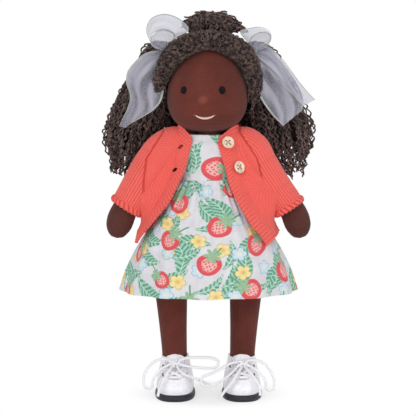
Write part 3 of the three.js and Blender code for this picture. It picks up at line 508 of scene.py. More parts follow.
# %% [markdown]
# ## Laying cloth by rule
#
# A limb, a sleeve or a skirt is one piece of cloth laid round a form. Each starts as a flat grid with
# its own UV map, like cloth on the table, and a rule says where every point of it comes to lie. The map
# is in metres of the laid cloth, so a pattern keeps its size. Relief such as knitted stitches is raised
# square to the surface, so it stays true where the form bends.


# %% Laid cloth
def read(items, label, size=1, kind=float):
    """One value of each item, or a few of them in a row, as a flat array."""
    values = np.empty(len(items) * size, kind)
    items.foreach_get(label, values)
    return values


def as_piece(name, bm):
    mesh = bpy.data.meshes.new(name)
    bm.to_mesh(mesh)
    bm.free()
    mesh.shade_smooth()
    return shown(name, mesh)


def facing(place, u, v, step=1e-3):
    """Outward normals of the form, from points a step apart. Their length grows with the area there."""
    across = place(u + step, v) - place(u - step, v)
    along = place(u, np.clip(v + step, 0, 1)) - place(u, np.clip(v - step, 0, 1))
    return np.cross(along, across)


def measured(place, start=0.0, around=False):
    """The rule from u, v to metres: across from u = start, and down from the top."""
    samples = np.linspace(0, 1, 65)
    sides = np.linspace(0, 1, 129)
    rings = np.array([place(sides, np.full(129, v)) for v in samples])
    widths = np.linalg.norm(np.diff(rings, axis=1), axis=2).sum(axis=1)
    drops = np.concatenate([[0], np.cumsum(np.linalg.norm(np.diff(rings, axis=0), axis=2).mean(axis=1))])

    def to_metres(u, v):
        turn = np.where(u > 0.5, u - 1, u) if around else u
        return (turn - start) * np.interp(v, samples, widths), np.interp(v, samples, drops)

    return to_metres


def map_in_metres(piece, cloth):
    """Turns the grid's own map into metres, face by face, so that no face spans the map's end."""
    layer = piece.data.uv_layers["cloth"].data
    flat = read(layer, "uv", 2)
    u, v = flat[0::2], 1 - flat[1::2]
    starts, totals = (read(piece.data.polygons, label, kind=int) for label in ("loop_start", "loop_total"))
    middle = np.repeat(np.add.reduceat(u, starts) / totals, totals)
    nudged = np.where(middle > 0.5, np.maximum(u, 0.500001), np.minimum(u, 0.499999))
    flat[0::2], flat[1::2] = cloth(nudged, v)
    flat[1::2] *= -1
    layer.foreach_set("uv", flat)


cut_area = {}


def laid(name, columns, rows, place, relief=None, keep=None, cloth=None, wall=0.0, cuts=()):
    """A grid of columns by rows, laid where place(u, v) says, with relief(u, v) raised on its outside.

    Cuts are planes, each a point and a normal, that cut the faces they cross, and keep says of a face's
    middle whether it stays. A wall gives the cloth its thickness, inwards. The relief's height stays on
    the points as an attribute, in millimetres, for the materials.
    """
    bm = bmesh.new()
    bm.loops.layers.uv.new("cloth")
    raised = bm.verts.layers.float_vector.new("raised")
    height = bm.verts.layers.float.new("height")
    bmesh.ops.create_grid(bm, x_segments=columns, y_segments=rows, size=0.5, calc_uvs=True)
    flat = np.array([vert.co for vert in bm.verts]) + 0.5
    u, v = flat[:, 0], 1 - flat[:, 1]
    high = np.zeros(len(u)) if relief is None else relief(u, v)
    lift = unit(facing(place, u, v)) * high[:, None]
    for vert, point, up, share in zip(bm.verts, place(u, v), lift, high * 1000):
        vert.co = point
        vert[raised] = up
        vert[height] = share
    for point, normal in cuts:
        everything = [*bm.verts, *bm.edges, *bm.faces]
        bmesh.ops.bisect_plane(bm, geom=everything, dist=1e-5, plane_co=point, plane_no=normal)
    if keep is not None:
        lost = [face for face in bm.faces if not keep(face.calc_center_median())]
        bmesh.ops.delete(bm, geom=lost, context="FACES")
    bmesh.ops.remove_doubles(bm, verts=bm.verts, dist=2e-5)
    bmesh.ops.recalc_face_normals(bm, faces=bm.faces)
    cut_area[name] = sum(face.calc_area() for face in bm.faces)
    outside = len(bm.verts)
    piece = as_piece(name, bm)
    map_in_metres(piece, cloth or measured(place, around=True))
    if wall:
        thicken(piece, wall)
    raise_relief(piece.data, outside)
    return piece


def thicken(piece, wall):
    """Gives a sheet its inner side and rim. The outer side's points keep their order."""
    solid = piece.modifiers.new("wall", "SOLIDIFY")
    solid.thickness = wall
    solid.offset = -1
    thick = settled(piece)
    piece.modifiers.clear()
    old, piece.data = piece.data, thick
    bpy.data.meshes.remove(old)
    thick.name = piece.name
    thick.set_sharp_from_angle(angle=math.radians(70))


def raise_relief(mesh, outside):
    """Moves the outer points by the relief kept on them."""
    place, raised = read(mesh.vertices, "co", 3), read(mesh.attributes["raised"].data, "vector", 3)
    place[: outside * 3] += raised[: outside * 3]
    mesh.vertices.foreach_set("co", place)
    mesh.attributes.remove(mesh.attributes["raised"])
    mesh.update()


def turn_at(u):
    """The angle round a form, from its front."""
    return 2 * math.pi * u - math.pi / 2


def limb_form(rows):
    """A form along a path. Rows: place along it, centre x, y, z, half width across and half depth."""
    rows = np.array(rows, float)
    rows[:, 1:] *= MM

    def place(u, v):
        now = read_table(rows, v)
        ahead = read_table(rows, np.clip(v + 0.002, 0, 1))
        behind = read_table(rows, np.clip(v - 0.002, 0, 1))
        along = unit(ahead[:, :3] - behind[:, :3])
        across = unit(np.cross(along, (0, 1, 0)))
        deep = np.cross(across, along)
        turn = turn_at(u)[:, None]
        half = np.maximum(now[:, 3:], 0)
        return now[:, :3] + across * half[:, :1] * np.cos(turn) + deep * half[:, 1:] * np.sin(turn)

    return place


def as_cloth(piece, height):
    """Prints the size a sheet of cloth was cut to: its height, and the width that its area gives."""
    flat = (cut_area[piece.name] / height, height)
    print(piece.name, "was cut", round(flat[0] * 1000), "x", round(height * 1000), "mm")


# %% [markdown]
# ## The stuffed body
#
# Head, arms, legs and torso are tubes of brushed cotton jersey filled firmly with wool, which pulls the knit into
# even, rounded forms. Each is laid over a table of sections that follows the CAD form. The head carries the
# modelling of the face: a pinched nose and shallow dimples where the eyes are sewn in. Where the face is raised,
# most on the nose, the jersey is painted paler as a painted highlight, and the arms wear a darker copy of it as
# painted shade.

# %% Brown jersey
def jersey_of(name, dark, light, wale, course, turned=False):
    """Brushed jersey. Turned, its wales run round the form instead of along it. Where the relief rises it is
    painted paler, a painted highlight.
    """

    def build(tree):
        place = coordinates(tree)
        x, y, _ = split(coordinates(tree, "UV"))
        knit = use(jersey, Vector=joined(y, x) if turned else joined(x, y), Wale=wale, Course=course)["Height"]
        # Painted highlight: the relief's height lightens the nap and mixes in a paler warm brown, (156, 84, 68),
        # most on the nose.
        raised = attribute(tree, "height").ramp(0.5, 4.6)
        nap = fibrous(place, dark, light, knit * 0.4 + noise(place, 35, 2) * 0.5 + raised * 0.3, 0.55, 0.5)
        colour = mixed(raised * 0.36, nap["Colour"], (156, 84, 68))
        return {"Base Color": colour, "Height": knit * 0.75 + nap["Height"] * 0.25, "Depth": 0.00034}

    return finish_of(name, build, Roughness=0.85, Sheen_Weight=0.1, Sheen_Roughness=0.5, Specular_IOR_Level=0.25)


SKIN = (72, 29, 22), (120, 56, 45)
body_jersey = jersey_of("brown_jersey_body", *SKIN, 0.0016, 0.0014)
face_jersey = jersey_of("brown_jersey_face", *SKIN, 0.0019, 0.0014, turned=True)
# Painted shade: the arms wear a darker copy of the same jersey.
arm_jersey_painted_shade = jersey_of("brown_jersey_arms", (60, 29, 24), (100, 54, 47), 0.0015, 0.0013)


def stuffed(body, finish, nodes, fill, name, *cloth, **more):
    """A padded piece: cloth laid over a form, in place of CAD nodes. Its fill is not used."""
    piece = worn(laid(name, *cloth, **more), finish, body, "skin", *nodes)
    print(name, len(piece.data.polygons), "faces")


# %% Torso and neck
TORSO_ROWS = [
    (0, 0, 0, 260, 22, 15.2), (0.09, 0, 0, 254.5, 34, 18), (0.15, 0, 0, 246.8, 36, 19.4),
    (0.23, 0, 0, 235.8, 31, 19.4), (0.38, 0, 0, 218.2, 27, 19.1), (0.5, 0, 0, 205, 31.4, 22),
    (0.65, 0, 0, 188.5, 40.3, 23.8), (0.8, 0, 0, 172, 49, 21.4), (0.91, 0, 0, 160, 54, 12.5),
    (1, 0, 0, 150.3, 55.5, 1),
]
NECK_ROWS = [
    (0, 0, 0, 272, 12, 12), (0.5, 0, 0, 262, 11.6, 11.6), (0.8, 0, 0, 254, 11, 11), (1, 0, 0, 247, 3, 3),
]
TORSO_NODES = ["torso_cover", "torso_stuffing"]
stuffed("torso", body_jersey, TORSO_NODES, 0.9, "torso_cloth", 72, 56, limb_form(TORSO_ROWS))
stuffed("neck", body_jersey, ["neck"], 0.95, "neck_cloth", 48, 20, limb_form(NECK_ROWS))

# %% Head and face
HEAD_MIDDLE, CROWN, JAW = 0.3, 0.0545, 0.0345
HEAD_HALF = (0.0402, 0.0385)
HEAD_SHIFT = -1.2 * MM
CROWN_FULLNESS, JAW_FULLNESS = 1.04, 0.64
FACE_TURN = math.radians(-7)
EYES = {"right": (-18.5, 307), "left": (18.5, 307)}
EYE_HALF = 3.4 * MM, 1.25 * MM, 3.7 * MM
SMILE_HALF, SMILE_SIDE, SMILE_HEIGHT, SMILE_LIFT = 8.9 * MM, 1.9 * MM, 0.2798, 2.8 * MM
LIP_HALF, LIP_HEIGHT, LIP_LIFT = 11 * MM, 1.2 * MM, 2.3 * MM
THREAD_OUT = 0.35 * MM


def egg(u, v, half, crown, jaw, high_power, low_power):
    lift, turn = math.pi * (0.5 - v), turn_at(u)
    rise, shrink = np.sin(lift), np.maximum(np.cos(lift), 0)
    share = np.where(rise > 0, shrink**high_power, shrink**low_power)
    z = HEAD_MIDDLE + np.where(rise > 0, crown, jaw) * rise
    return np.column_stack([half[0] * share * np.cos(turn), half[1] * share * np.sin(turn), z])


def head_form(u, v):
    return egg(u, v, HEAD_HALF, CROWN, JAW, CROWN_FULLNESS, JAW_FULLNESS) + (HEAD_SHIFT, 0, 0)


def in_face(points):
    """How far across the face, how far forward and how high each point is, with the face turned."""
    x, y = points[:, 0] - HEAD_SHIFT, points[:, 1]
    across = x * math.cos(FACE_TURN) + y * math.sin(FACE_TURN)
    forward = x * math.sin(FACE_TURN) - y * math.cos(FACE_TURN)
    return across, forward, points[:, 2]


def face_relief(u, v):
    across, forward, z = in_face(head_form(u, v))

    def dab(x, height, width, tall=None):
        return near(across - x * MM, width * MM) * near(z - height * MM, (tall or width) * MM)

    smile = SMILE_HEIGHT + SMILE_LIFT * ((across - SMILE_SIDE) / SMILE_HALF) ** 2
    crease = near(z - smile, 1.2 * MM) * np.exp(-((across / 0.009) ** 4))
    eyes = sum(dab(x, height, 5) for x, height in EYES.values())
    cheeks = dab(-20, 288, 13) + dab(20, 288, 13)
    swell = 4.6 * dab(0.8, 298, 4.6, 4.4) - 0.8 * eyes + 0.9 * cheeks - 0.5 * crease
    return MM * soft_step(0, 0.02, forward) * swell


stuffed(
    "head", face_jersey, ["head_cover", "head_stuffing"], 0.95, "head_cloth", 200, 150, head_form,
    relief=face_relief,
)

# %% Arms and legs
ARM_ROWS = [
    (0, 36, 250, 11, 11), (0.18, 46, 242.5, 12, 12), (0.42, 58, 225, 11.8, 11.8),
    (0.66, 70, 206.5, 11.4, 11.4), (0.78, 79, 194.5, 11.8, 11.2), (0.87, 85.6, 183.5, 13.2, 11),
    (0.93, 88.8, 175, 13.3, 10.4), (0.96, 90.2, 169.5, 12.3, 9.5), (0.98, 91, 164.6, 9.9, 7.8),
    (0.992, 91.4, 161, 6.8, 5.4), (0.998, 91.6, 159.2, 3.4, 2.8), (1, 91.7, 158.6, 0.1, 0.1),
]
LEG_ROWS = [
    (0, 39, 0, 149, 17, 0.9), (0.06, 39, 0, 138, 17.5, 6.5), (0.13, 38.6, 0, 125, 17.4, 12.5),
    (0.21, 38, 0, 111, 16.6, 15), (0.3, 37, 0, 95, 15.5, 15), (0.46, 35.6, 0, 68, 13.7, 13.5),
    (0.62, 34.3, 0, 41, 12.5, 12.3), (0.7, 34, -1, 28, 12.2, 12.6), (0.77, 34, -6, 17, 12.6, 15),
    (0.9, 34, -9, 9.5, 12.5, 19), (1, 34, -9, 6.6, 0.1, 0.1),
]
for side, sign in SIDES.items():
    arm_rows = [(share, sign * x, 0, *rest) for share, x, *rest in ARM_ROWS]
    leg_rows = [(share, sign * x, *rest) for share, x, *rest in LEG_ROWS]
    for limb, finish, *size, rows in [
        (side + "_arm", arm_jersey_painted_shade, 72, 200, arm_rows),
        (side + "_leg", body_jersey, 64, 120, leg_rows),
    ]:
        nodes = [limb + "_cover", limb + "_stuffing"]
        stuffed(limb, finish, nodes, 0.9, limb + "_cloth", *size, limb_form(rows))

# %% [markdown]
# ## Eyes, nose and mouth
#
# The face is sewn by hand: an oval of dark satin stitch for each eye, and a smile of white thread with
# a thin red line above it. The eyes are low domes whose stitches are fine ridges, and the smile is a
# curve that swells in its middle.


# %% Eyes and mouth
def on_face(across, height, stand_off=0.0):
    """A place on the front of the head, by face coordinates in metres."""
    rise = height - HEAD_MIDDLE
    shrink = math.sqrt(1 - (rise / (CROWN if rise > 0 else JAW)) ** 2)
    share = shrink ** (CROWN_FULLNESS if rise > 0 else JAW_FULLNESS)
    wide, deep = HEAD_HALF[0] * share, HEAD_HALF[1] * share
    forward = deep * math.sqrt(1 - (across / wide) ** 2) + stand_off
    x = across * math.cos(FACE_TURN) + forward * math.sin(FACE_TURN) + HEAD_SHIFT
    return np.array([x, across * math.sin(FACE_TURN) - forward * math.cos(FACE_TURN), height])


def satin_stitch(place):
    thread = ridges(place, 9000, 0, 700)
    return thread * 0.35 + 0.05, thread


def plied_of(name, dark, light, twist=3800.0, **shader):
    """Thread or cord of twisted plies, as slanting ridges round its length."""

    def look(place):
        ply = ridges(place, twist, twist * 0.5, twist * 0.8)
        return ply * 0.5 + 0.3, ply

    return yarn_of(name, dark, light, look, 0.5, 0.1, 0.0002, **shader)


black_thread = yarn_of(
    "black_embroidery_thread", (4, 4, 7), (26, 26, 33), satin_stitch, 0.3, 0.2, 0.0002,
    Roughness=0.55, Specular_IOR_Level=0.15,
)
white_thread = plied_of("white_embroidery_thread", (196, 178, 170), (240, 228, 220), Roughness=0.6)
red_thread = plied_of("red_brown_thread", (146, 66, 56), (196, 112, 98), Roughness=0.7)

for side, (x, height) in EYES.items():
    bm = bmesh.new()
    bmesh.ops.create_uvsphere(bm, u_segments=40, v_segments=24, radius=1)
    centre = on_face(x * MM, height * MM, 0.0)
    out = on_face(x * MM, height * MM, 0.01) - centre
    turn = Vector(out).to_track_quat("Y", "Z").to_matrix().to_4x4()
    shape = Matrix.Diagonal((*EYE_HALF, 1))
    bmesh.ops.transform(bm, matrix=Matrix.Translation(centre) @ turn @ shape, verts=bm.verts)
    worn(as_piece(side + "_eye_stitching", bm), black_thread, "head", "black_thread", "eye_" + side)

shares = np.linspace(-1, 1, 41)


def sewn_line(half, height, lift):
    """A curved line of thread across the mouth."""
    return [on_face(SMILE_SIDE + half * s, SMILE_HEIGHT + height + lift * s * s, THREAD_OUT) for s in shares]


smile = sewn_line(SMILE_HALF, 0, SMILE_LIFT)
lip = sewn_line(LIP_HALF, LIP_HEIGHT, LIP_LIFT)
mouth = cords_of("mouth_thread", [smile], 0.95 * MM, sides=4, radii=[1.04 - 0.62 * shares**4])
worn(mouth, white_thread, "head", "white_thread", "mouth")
lip_line = cords_of("mouth_outline_thread", [lip], 0.46 * MM, sides=3, radii=[1 - 0.4 * shares**4])
worn(lip_line, red_thread, "head", "red_thread")
print("face sewn")

# %% [markdown]
# ## Printed cotton
#
# The cloth is printed with a scatter of red berries, green leaves and small yellow and blue flowers on
# pale cream. A print like this can be built from cells: the cloth is divided into squares, each square
# has its own random turn and shift, and one motif is drawn in it by distance. Six layers with
# different squares, laid over each other, hide the pattern's regularity.

# %% Scattered motifs
def build_cell(given):
    """Coordinates inside scattered squares, in metres from each motif's middle, and a random number."""
    x, y, _ = split(given["Vector"])
    size, slant, stray = given["Size"], given["Slant"], given["Stray"]
    across = (x * slant.cosine() - y * slant.sine()) / size + given["Seed"]
    along = (x * slant.sine() + y * slant.cosine()) / size
    along = along + across.whole() * 0.37
    cell = joined(across.whole(), along.whole(), given["Seed"])
    pick = placed(x.tree, "TexWhiteNoise", {"Vector": cell}, "Color", noise_dimensions="3D")
    red, green, blue = split(pick)
    local_x = (across.part() - 0.5 + (red - 0.5) * stray) * size
    local_y = (along.part() - 0.5 + (green - 0.5) * stray) * size
    turn = (blue - 0.5) * given["Turn"] - slant
    return {
        "X": local_x * turn.cosine() - local_y * turn.sine(),
        "Y": local_x * turn.sine() + local_y * turn.cosine(),
        "Pick": pick.source.node.outputs["Value"],
    }


cell = effect(
    "scattered motif",
    {"Vector": VECTOR, "Size": FLOAT, "Slant": FLOAT, "Seed": FLOAT, "Stray": FLOAT, "Turn": FLOAT},
    {"X": FLOAT, "Y": FLOAT, "Pick": FLOAT},
    build_cell,
)


def inside(distance, edge=0.0003):
    """1 where a distance is below zero, with a soft edge."""
    return distance.ramp(-edge, edge, 1, 0)


def motif(cloth, layer, stray, turn):
    """A layer's coordinates and random number. The layer is its squares' size, slant and seed."""
    size, slant, seed = layer
    return use(cell, Vector=cloth, Size=size, Slant=slant, Seed=seed, Stray=stray, Turn=turn).values()


def print_leaves(cloth, ground, brush, layer, half, length):
    """Broad leaves with a pale midrib and brushed side veins."""
    x, y, _ = motif(cloth, layer, 0.3, 5.0)
    x = x + y * y * 22 - 0.0012
    taper = (1 - (y / length) * (y / length)).over(0)
    teeth = (y * 1500 + abs(x) * 900).sine() * 0.0004
    edge = abs(x) - taper * half + teeth
    vein = (abs(x) * 1100 - y * 1500 + brush * 5).sine()
    tone = mixed((vein * 0.5 + brush).ramp(0.0, 1.1), (62, 142, 112), (158, 208, 184))
    tone = mixed(inside(abs(x) - 0.0004), tone, (206, 226, 212))
    return mixed(inside(edge) * inside(abs(y) - length), ground, tone)


def print_berries(cloth, ground, brush, layer, scale):
    """Berries with a pale cut middle, seeds and a green star of leaves on a stem."""
    x, y, pick = motif(cloth, layer, 0.25, 3.4)
    grow = (pick * 0.45 + 0.78) * scale
    x, y = x / grow, y / grow
    stem = abs(x - y * y * 14) - 0.0006
    ground = mixed(inside(stem) * inside(abs(y - 0.011) - 0.007), ground, (86, 150, 112))
    wide = 0.0074 + y * 0.34 - y.over(0) * y.over(0) * 46
    body = (x * x + (y * y) * 0.62 * (1 + (0 - y).over(0) * 18)).root() - wide
    heart = body + 0.0024 + brush * 0.0014
    seeds = ((x * 2300).sine() * (y * 1900 + (x * 1100).sine()).sine() + brush * 0.8).ramp(0.55, 0.8)
    flesh = mixed(seeds, (240, 178, 172), (222, 76, 84))
    flesh = mixed(inside(heart, 0.0005), mixed(brush, (208, 30, 46), (232, 70, 78)), flesh)
    fruit = mixed(inside(body), ground, flesh)
    up = y - 0.0078
    star = (x * x + up * up).root() - 0.0022 - abs((x.angle(up) * 3.5).cosine()) * 0.0036
    return mixed(inside(star), fruit, mixed(brush, (104, 158, 120), (170, 205, 160)))


def print_flowers(cloth, ground, layer, radius, petal, line, heart):
    """Five-petalled flowers with a thin outline."""
    x, y, pick = motif(cloth, layer, 0.45, 6.0)
    reach = (x * x + y * y).root()
    edge = reach - (abs((y.angle(x) * 2.5).cosine()).root() * 0.5 + 0.5) * radius
    colour = mixed((reach / radius).ramp(0.0, 0.55), heart, petal)
    colour = mixed(inside(edge + 0.0007), line, colour)
    colour = mixed(inside(reach - radius * 0.2), colour, heart)
    return mixed(inside(edge) * inside(0.25 - pick, 0.01), ground, colour)


def printed_cotton(tree):
    cloth = coordinates(tree, "UV")
    brush = noise(scaled(cloth, (1, 0.35, 1)), 620, 3, 0.6)
    colour = mixed(noise(cloth, 90, 3).ramp(0.35, 0.7), (212, 211, 215), (224, 223, 228))
    colour = print_leaves(cloth, colour, brush, (0.043, 0.5, 3.0), 0.0075, 0.0205)
    colour = print_leaves(cloth, colour, brush, (0.052, 1.9, 11.0), 0.0085, 0.0235)
    colour = print_leaves(cloth, colour, brush, (0.038, 2.6, 23.0), 0.004, 0.0165)
    yellow = (240, 220, 146), (198, 168, 104), (228, 186, 96)
    blue = (198, 222, 236), (134, 170, 196), (232, 228, 200)
    colour = print_flowers(cloth, colour, (0.0285, 0.9, 5.0), 0.0078, *yellow)
    colour = print_flowers(cloth, colour, (0.0335, 2.2, 17.0), 0.0074, *blue)
    colour = print_berries(cloth, colour, brush, (0.0425, 0.22, 7.0), 1.35)
    thread = use(weave, Vector=cloth, Pitch=0.00045)
    colour = mixed(thread["Slub"] * 0.14, colour, (232, 231, 234))
    return {"Base Color": colour, "Height": thread["Height"] * 0.7 + thread["Slub"] * 0.3, "Depth": 0.00012}


print_cloth = finish_of(
    "printed_cotton", printed_cotton, Roughness=0.8, Sheen_Weight=0.1, Specular_IOR_Level=0.3
)

# %% [markdown]
# ## Dress
#
# The dress is thin cotton: a plain bodice and a skirt gathered into its waist, so many small tucks run out into a
# dozen broad folds at the hem. The skirt lies over two legs that can swing, and it is cut in four pieces: a side
# and a middle one for each leg, which meet at the middle.

# %% Skirt and bodice
WAIST, HEM = 0.218, 0.107
COTTON = 0.5 * MM
SKIRT_MIDDLE = 21 * MM
SKIRT_ROWS = np.array(
    [
        (0, 28.6, 21.1), (0.04, 31.5, 23.2), (0.2, 42.6, 31.2), (0.43, 59, 43.3), (0.67, 75.4, 55.3),
        (0.86, 85.1, 62.4), (1, 90, 66),
    ]
)
SKIRT_ROWS[:, 1:] *= MM


def skirt_form(u, v):
    wide, deep = read_table(SKIRT_ROWS, v).T
    turn = turn_at(u)
    fold = 2.0 * MM * v * (np.cos(12 * turn + 0.6 * np.sin(3 * turn)) - 1)
    gather = np.exp(-v * 4.2) * soft_step(0, 0.04, v)
    tuck = 1.5 * MM * gather * np.cos(34 * turn + 1.6 * np.sin(7 * turn))
    ease = fold + tuck
    drop = WAIST - (WAIST - HEM) * v
    return np.column_stack([(wide + ease) * np.cos(turn), (deep + ease) * np.sin(turn), drop])


def hem_stitch(u, v):
    """A line of stitching above the hem, which draws the cloth in a little."""
    _, y = skirt_map(u, v)
    above = y.max() - y - 7 * MM
    return -0.3 * MM * near(above, 0.7 * MM) * (0.7 + 0.3 * np.sin(u * 2 * math.pi * 160))


BEND_DOWN = (0, 0.205), (0, 0.02318)
BEND_ACROSS = (0.02101, 0.205), (0.0582, 0.19704)


def with_leg(side, bend):
    """The torso, a leg and the first and last places of a bend, as a tuple. worn() bends nothing with them, and
    the piece stays where it is made.
    """
    start, end = ((SIDES[side] * x, 0, z) for x, z in bend)
    return "torso", side + "_leg", start, end


skirt_map = measured(skirt_form, around=True)
for side, sign in SIDES.items():
    parts = {
        "side": (BEND_DOWN, lambda centre: centre.x * sign > SKIRT_MIDDLE),
        "middle": (BEND_ACROSS, lambda centre: 0 < centre.x * sign < SKIRT_MIDDLE),
    }
    for part, (bend, keep) in parts.items():
        piece = laid(
            f"{side}_skirt_{part}", 400, 96, skirt_form, keep=keep, cloth=skirt_map, wall=COTTON,
            relief=hem_stitch, cuts=[((sign * SKIRT_MIDDLE, 0, 0), (1, 0, 0)), ((0, 0, 0), (1, 0, 0))],
        )
        worn(piece, print_cloth, with_leg(side, bend), "cotton", "dress_skirt")
        as_cloth(piece, 0.118)

BODICE_ROWS = [
    (0, 0, 0, 263, 23.5, 17.4), (0.1, 0, 0, 259, 26.5, 17.8), (0.25, 0, 0, 253, 35.2, 19.6),
    (0.4, 0, 0, 246.8, 37.4, 20.7), (0.65, 0, 0, 235.8, 32, 20.8), (1, 0, 0, 217.6, 28.4, 20.8),
]
bodice_form = limb_form(BODICE_ROWS)
bodice_map = measured(bodice_form, around=True)


def bodice_cut(u, v):
    """The bodice is cut from another place of the same print."""
    x, y = bodice_map(u, v)
    return x + 0.307, y + 0.211


def neckline(u, v):
    """The turned binding at the neck, with its stitched channel below."""
    _, y = bodice_map(u, v)
    band = soft_step(0, 0.6 * MM, y) * (1 - soft_step(2.6 * MM, 3.2 * MM, y))
    return 0.7 * MM * band - 0.15 * MM * near(y - 4 * MM, 0.5 * MM)


bodice = laid(
    "dress_bodice_cloth", 144, 90, bodice_form, relief=neckline, keep=lambda centre: abs(centre.x) < 0.036,
    cloth=bodice_cut, wall=COTTON,
)
worn(bodice, print_cloth, "torso", "cotton", "dress_bodice")
as_cloth(bodice, 0.046)
print("dress done")

# %% [markdown]
# ## Cardigan
#
# The cardigan is knitted by hand in thick cotton: garter ridges on the front bands, plain stocking stitch on the
# rest, raglan sleeves and cuffs that roll. Each stitch is wide enough to see, so the stitches are real relief in
# the mesh. The material adds the fibre of the yarn, painted shade between the stitches and a painted shadow inside
# the buttonholes.

# %% Stitches
BUTTONHOLES = [(-27.3, 251), (-33.1, 228.4)]
SLIT = Vector((0.77, 0, 0.64))
STITCH, ROW, RIDGE = 2.7 * MM, 2.0 * MM, 3.6 * MM
CLOSE_STITCH, CLOSE_ROW = 2.5 * MM, 2.1 * MM


def stocking_stitch(x, y, high=1.1 * MM):
    """Columns of V-shaped stitches, x across and y along them, in metres."""
    aside = 0.5 - np.abs((x / STITCH) % 1 - 0.5)
    strand = np.sqrt(np.maximum(1 - ((aside - 0.29) / 0.3) ** 2, 0))
    slant = (y / ROW + aside * 1.7) % 1
    return high * strand * (0.5 + 0.5 * np.sqrt(np.maximum(1 - (2 * slant - 1) ** 2, 0)))


def garter_stitch(x, y, high=1.0 * MM):
    """Ridges across the cloth, each a row of bumps that dips and rises."""
    line = y + 0.45 * MM * np.sin(2 * math.pi * x / STITCH)
    ridge = 0.45 + 0.55 * np.sin(math.pi * line / RIDGE) ** 2
    bump = 0.75 + 0.25 * np.abs(np.sin(math.pi * x / STITCH + np.floor(line / RIDGE) * 1.3))
    return high * ridge * bump


def moss_stitch(x, y, high=1.0 * MM):
    """Small bumps in staggered rows, as stocking stitch shows where it lies flat and close."""
    row = np.floor(y / CLOSE_ROW)
    bump = np.sin(math.pi * (x / CLOSE_STITCH + 0.5 * (row % 2))) ** 2
    return high * (0.5 + 0.5 * bump * np.sin(math.pi * y / CLOSE_ROW) ** 2)


def knit_wool(tree):
    place = coordinates(tree)
    strand = noise(scaled(place, (1, 1, 0.35)), 1300, 3, 0.6)
    # Painted shade: the colour is darker where the stitches' relief is low, between them, and paler on their tops.
    share = attribute(tree, "height").ramp(0.15, 0.85) * 0.62 + strand * 0.3 + 0.08
    tone = fibrous(place, (198, 56, 44), (246, 108, 99), share, 0.5, 0.2)
    # Painted shadow: round each buttonhole slit, on the front, the knit is painted dark brown, (74, 24, 18), on
    # whatever surface shows through.
    x, y, z = split(place)
    away = []
    for across, height in BUTTONHOLES:
        off_x, off_z = x - across * MM, z - height * MM
        along, aside = off_x * SLIT.x + off_z * SLIT.z, off_z * SLIT.x - off_x * SLIT.z
        away.append((along * along + aside * aside * 4.5).root())
    dark = away[0].under(away[1]).ramp(0.0024, 0.0032, 1, 0) * (0 - y).ramp(0.002, 0.006)
    return {"Base Color": mixed(dark, tone["Colour"], (74, 24, 18)), "Height": strand, "Depth": 0.0003}


coral_knit = finish_of(
    "coral_knit", knit_wool, Roughness=0.85, Sheen_Weight=0.25, Sheen_Roughness=0.5, Specular_IOR_Level=0.2
)

# %% Cardigan body
CARDIGAN_ROWS = np.array(
    [
        (-0.06, 29, 20), (0, 31, 20), (0.05, 34, 21), (0.115, 37, 22.5), (0.185, 39, 23.5),
        (0.27, 39.5, 25.5), (0.36, 39.5, 27.5), (0.46, 43.5, 31.5), (0.6, 51.5, 38.6), (0.8, 63.3, 48.5),
        (1, 74.5, 55), (1.06, 77, 56.5),
    ]
)
CARDIGAN_ROWS[:, 1:] *= MM
CARDIGAN_TOP, CARDIGAN_LENGTH = 0.267, 0.109
EDGES = {
    "left": [
        (-0.06, 17), (0, 14), (0.05, 11), (0.11, 9.6), (0.185, 11.5), (0.27, 14.8), (0.36, 18), (0.46, 20.5),
        (0.6, 27.5), (0.8, 40.5), (1, 57), (1.06, 60),
    ],
    "right": [
        (-0.06, 22), (0, 19.1), (0.06, 16.8), (0.12, 17.2), (0.185, 19.1), (0.36, 24.3), (0.46, 30.1),
        (0.6, 37.5), (0.8, 54.5), (1, 71.5), (1.06, 75),
    ],
}
KNIT = 2.4 * MM
BAND = 12.5 * MM
OVERLAP = 0.07


def cardigan_point(turn, drop):
    wide, deep = read_table(CARDIGAN_ROWS, drop).T
    z = CARDIGAN_TOP - CARDIGAN_LENGTH * drop
    return np.column_stack([wide * np.cos(turn), -deep * np.sin(turn), z])


def over_arm(u, drop, across, forward):
    """The slack cloth that the sleeve carries out in front of the arm: most at chest height."""
    along = np.sin(math.pi * np.clip(u / 0.62, 0, 1) ** 0.8) ** 1.2
    down = soft_step(0, 0.26, drop) * (1 - soft_step(0.52, 0.9, drop))
    return (along * down)[:, None] * np.array([across, forward, 0]) * MM


def front_form(side):
    edges = np.array(EDGES[side], float)
    edges[:, 1] *= MM

    def place(u, v):
        top = -0.05 + 0.1 * np.clip(u, 0, 1) ** 4
        foot = 0.93 + 0.09 * np.clip(u, 0, 1) ** 2
        drop = top + (foot - top) * v
        wide = read_table(CARDIGAN_ROWS, drop)[:, 0]
        edge = read_table(edges, drop)[:, 0]
        end = np.arccos(np.clip(edge / wide, -1, 1))
        points = cardigan_point(-OVERLAP + (end + OVERLAP) * u, drop) + over_arm(u, drop, 22, -7)
        points[:, 0] *= SIDES[side]
        return points

    return place


def back_form(u, v):
    top = -0.05 + 0.03 * np.sin(math.pi * np.clip(u, 0, 1))
    foot = 0.93 + 0.07 * np.sin(math.pi * np.clip(u, 0, 1))
    drop = top + (foot - top) * v
    right = over_arm(np.clip(2 * u, 0, 1), drop, 12, 4)
    left = over_arm(np.clip(2 - 2 * u, 0, 1), drop, -12, 4)
    return cardigan_point(-math.pi * u, drop) + right + left


def border(y):
    """1 at the collar and at the foot, where the ridges are."""
    return np.maximum(1 - soft_step(7 * MM, 9 * MM, y.max() - y), 1 - soft_step(5 * MM, 7 * MM, y))


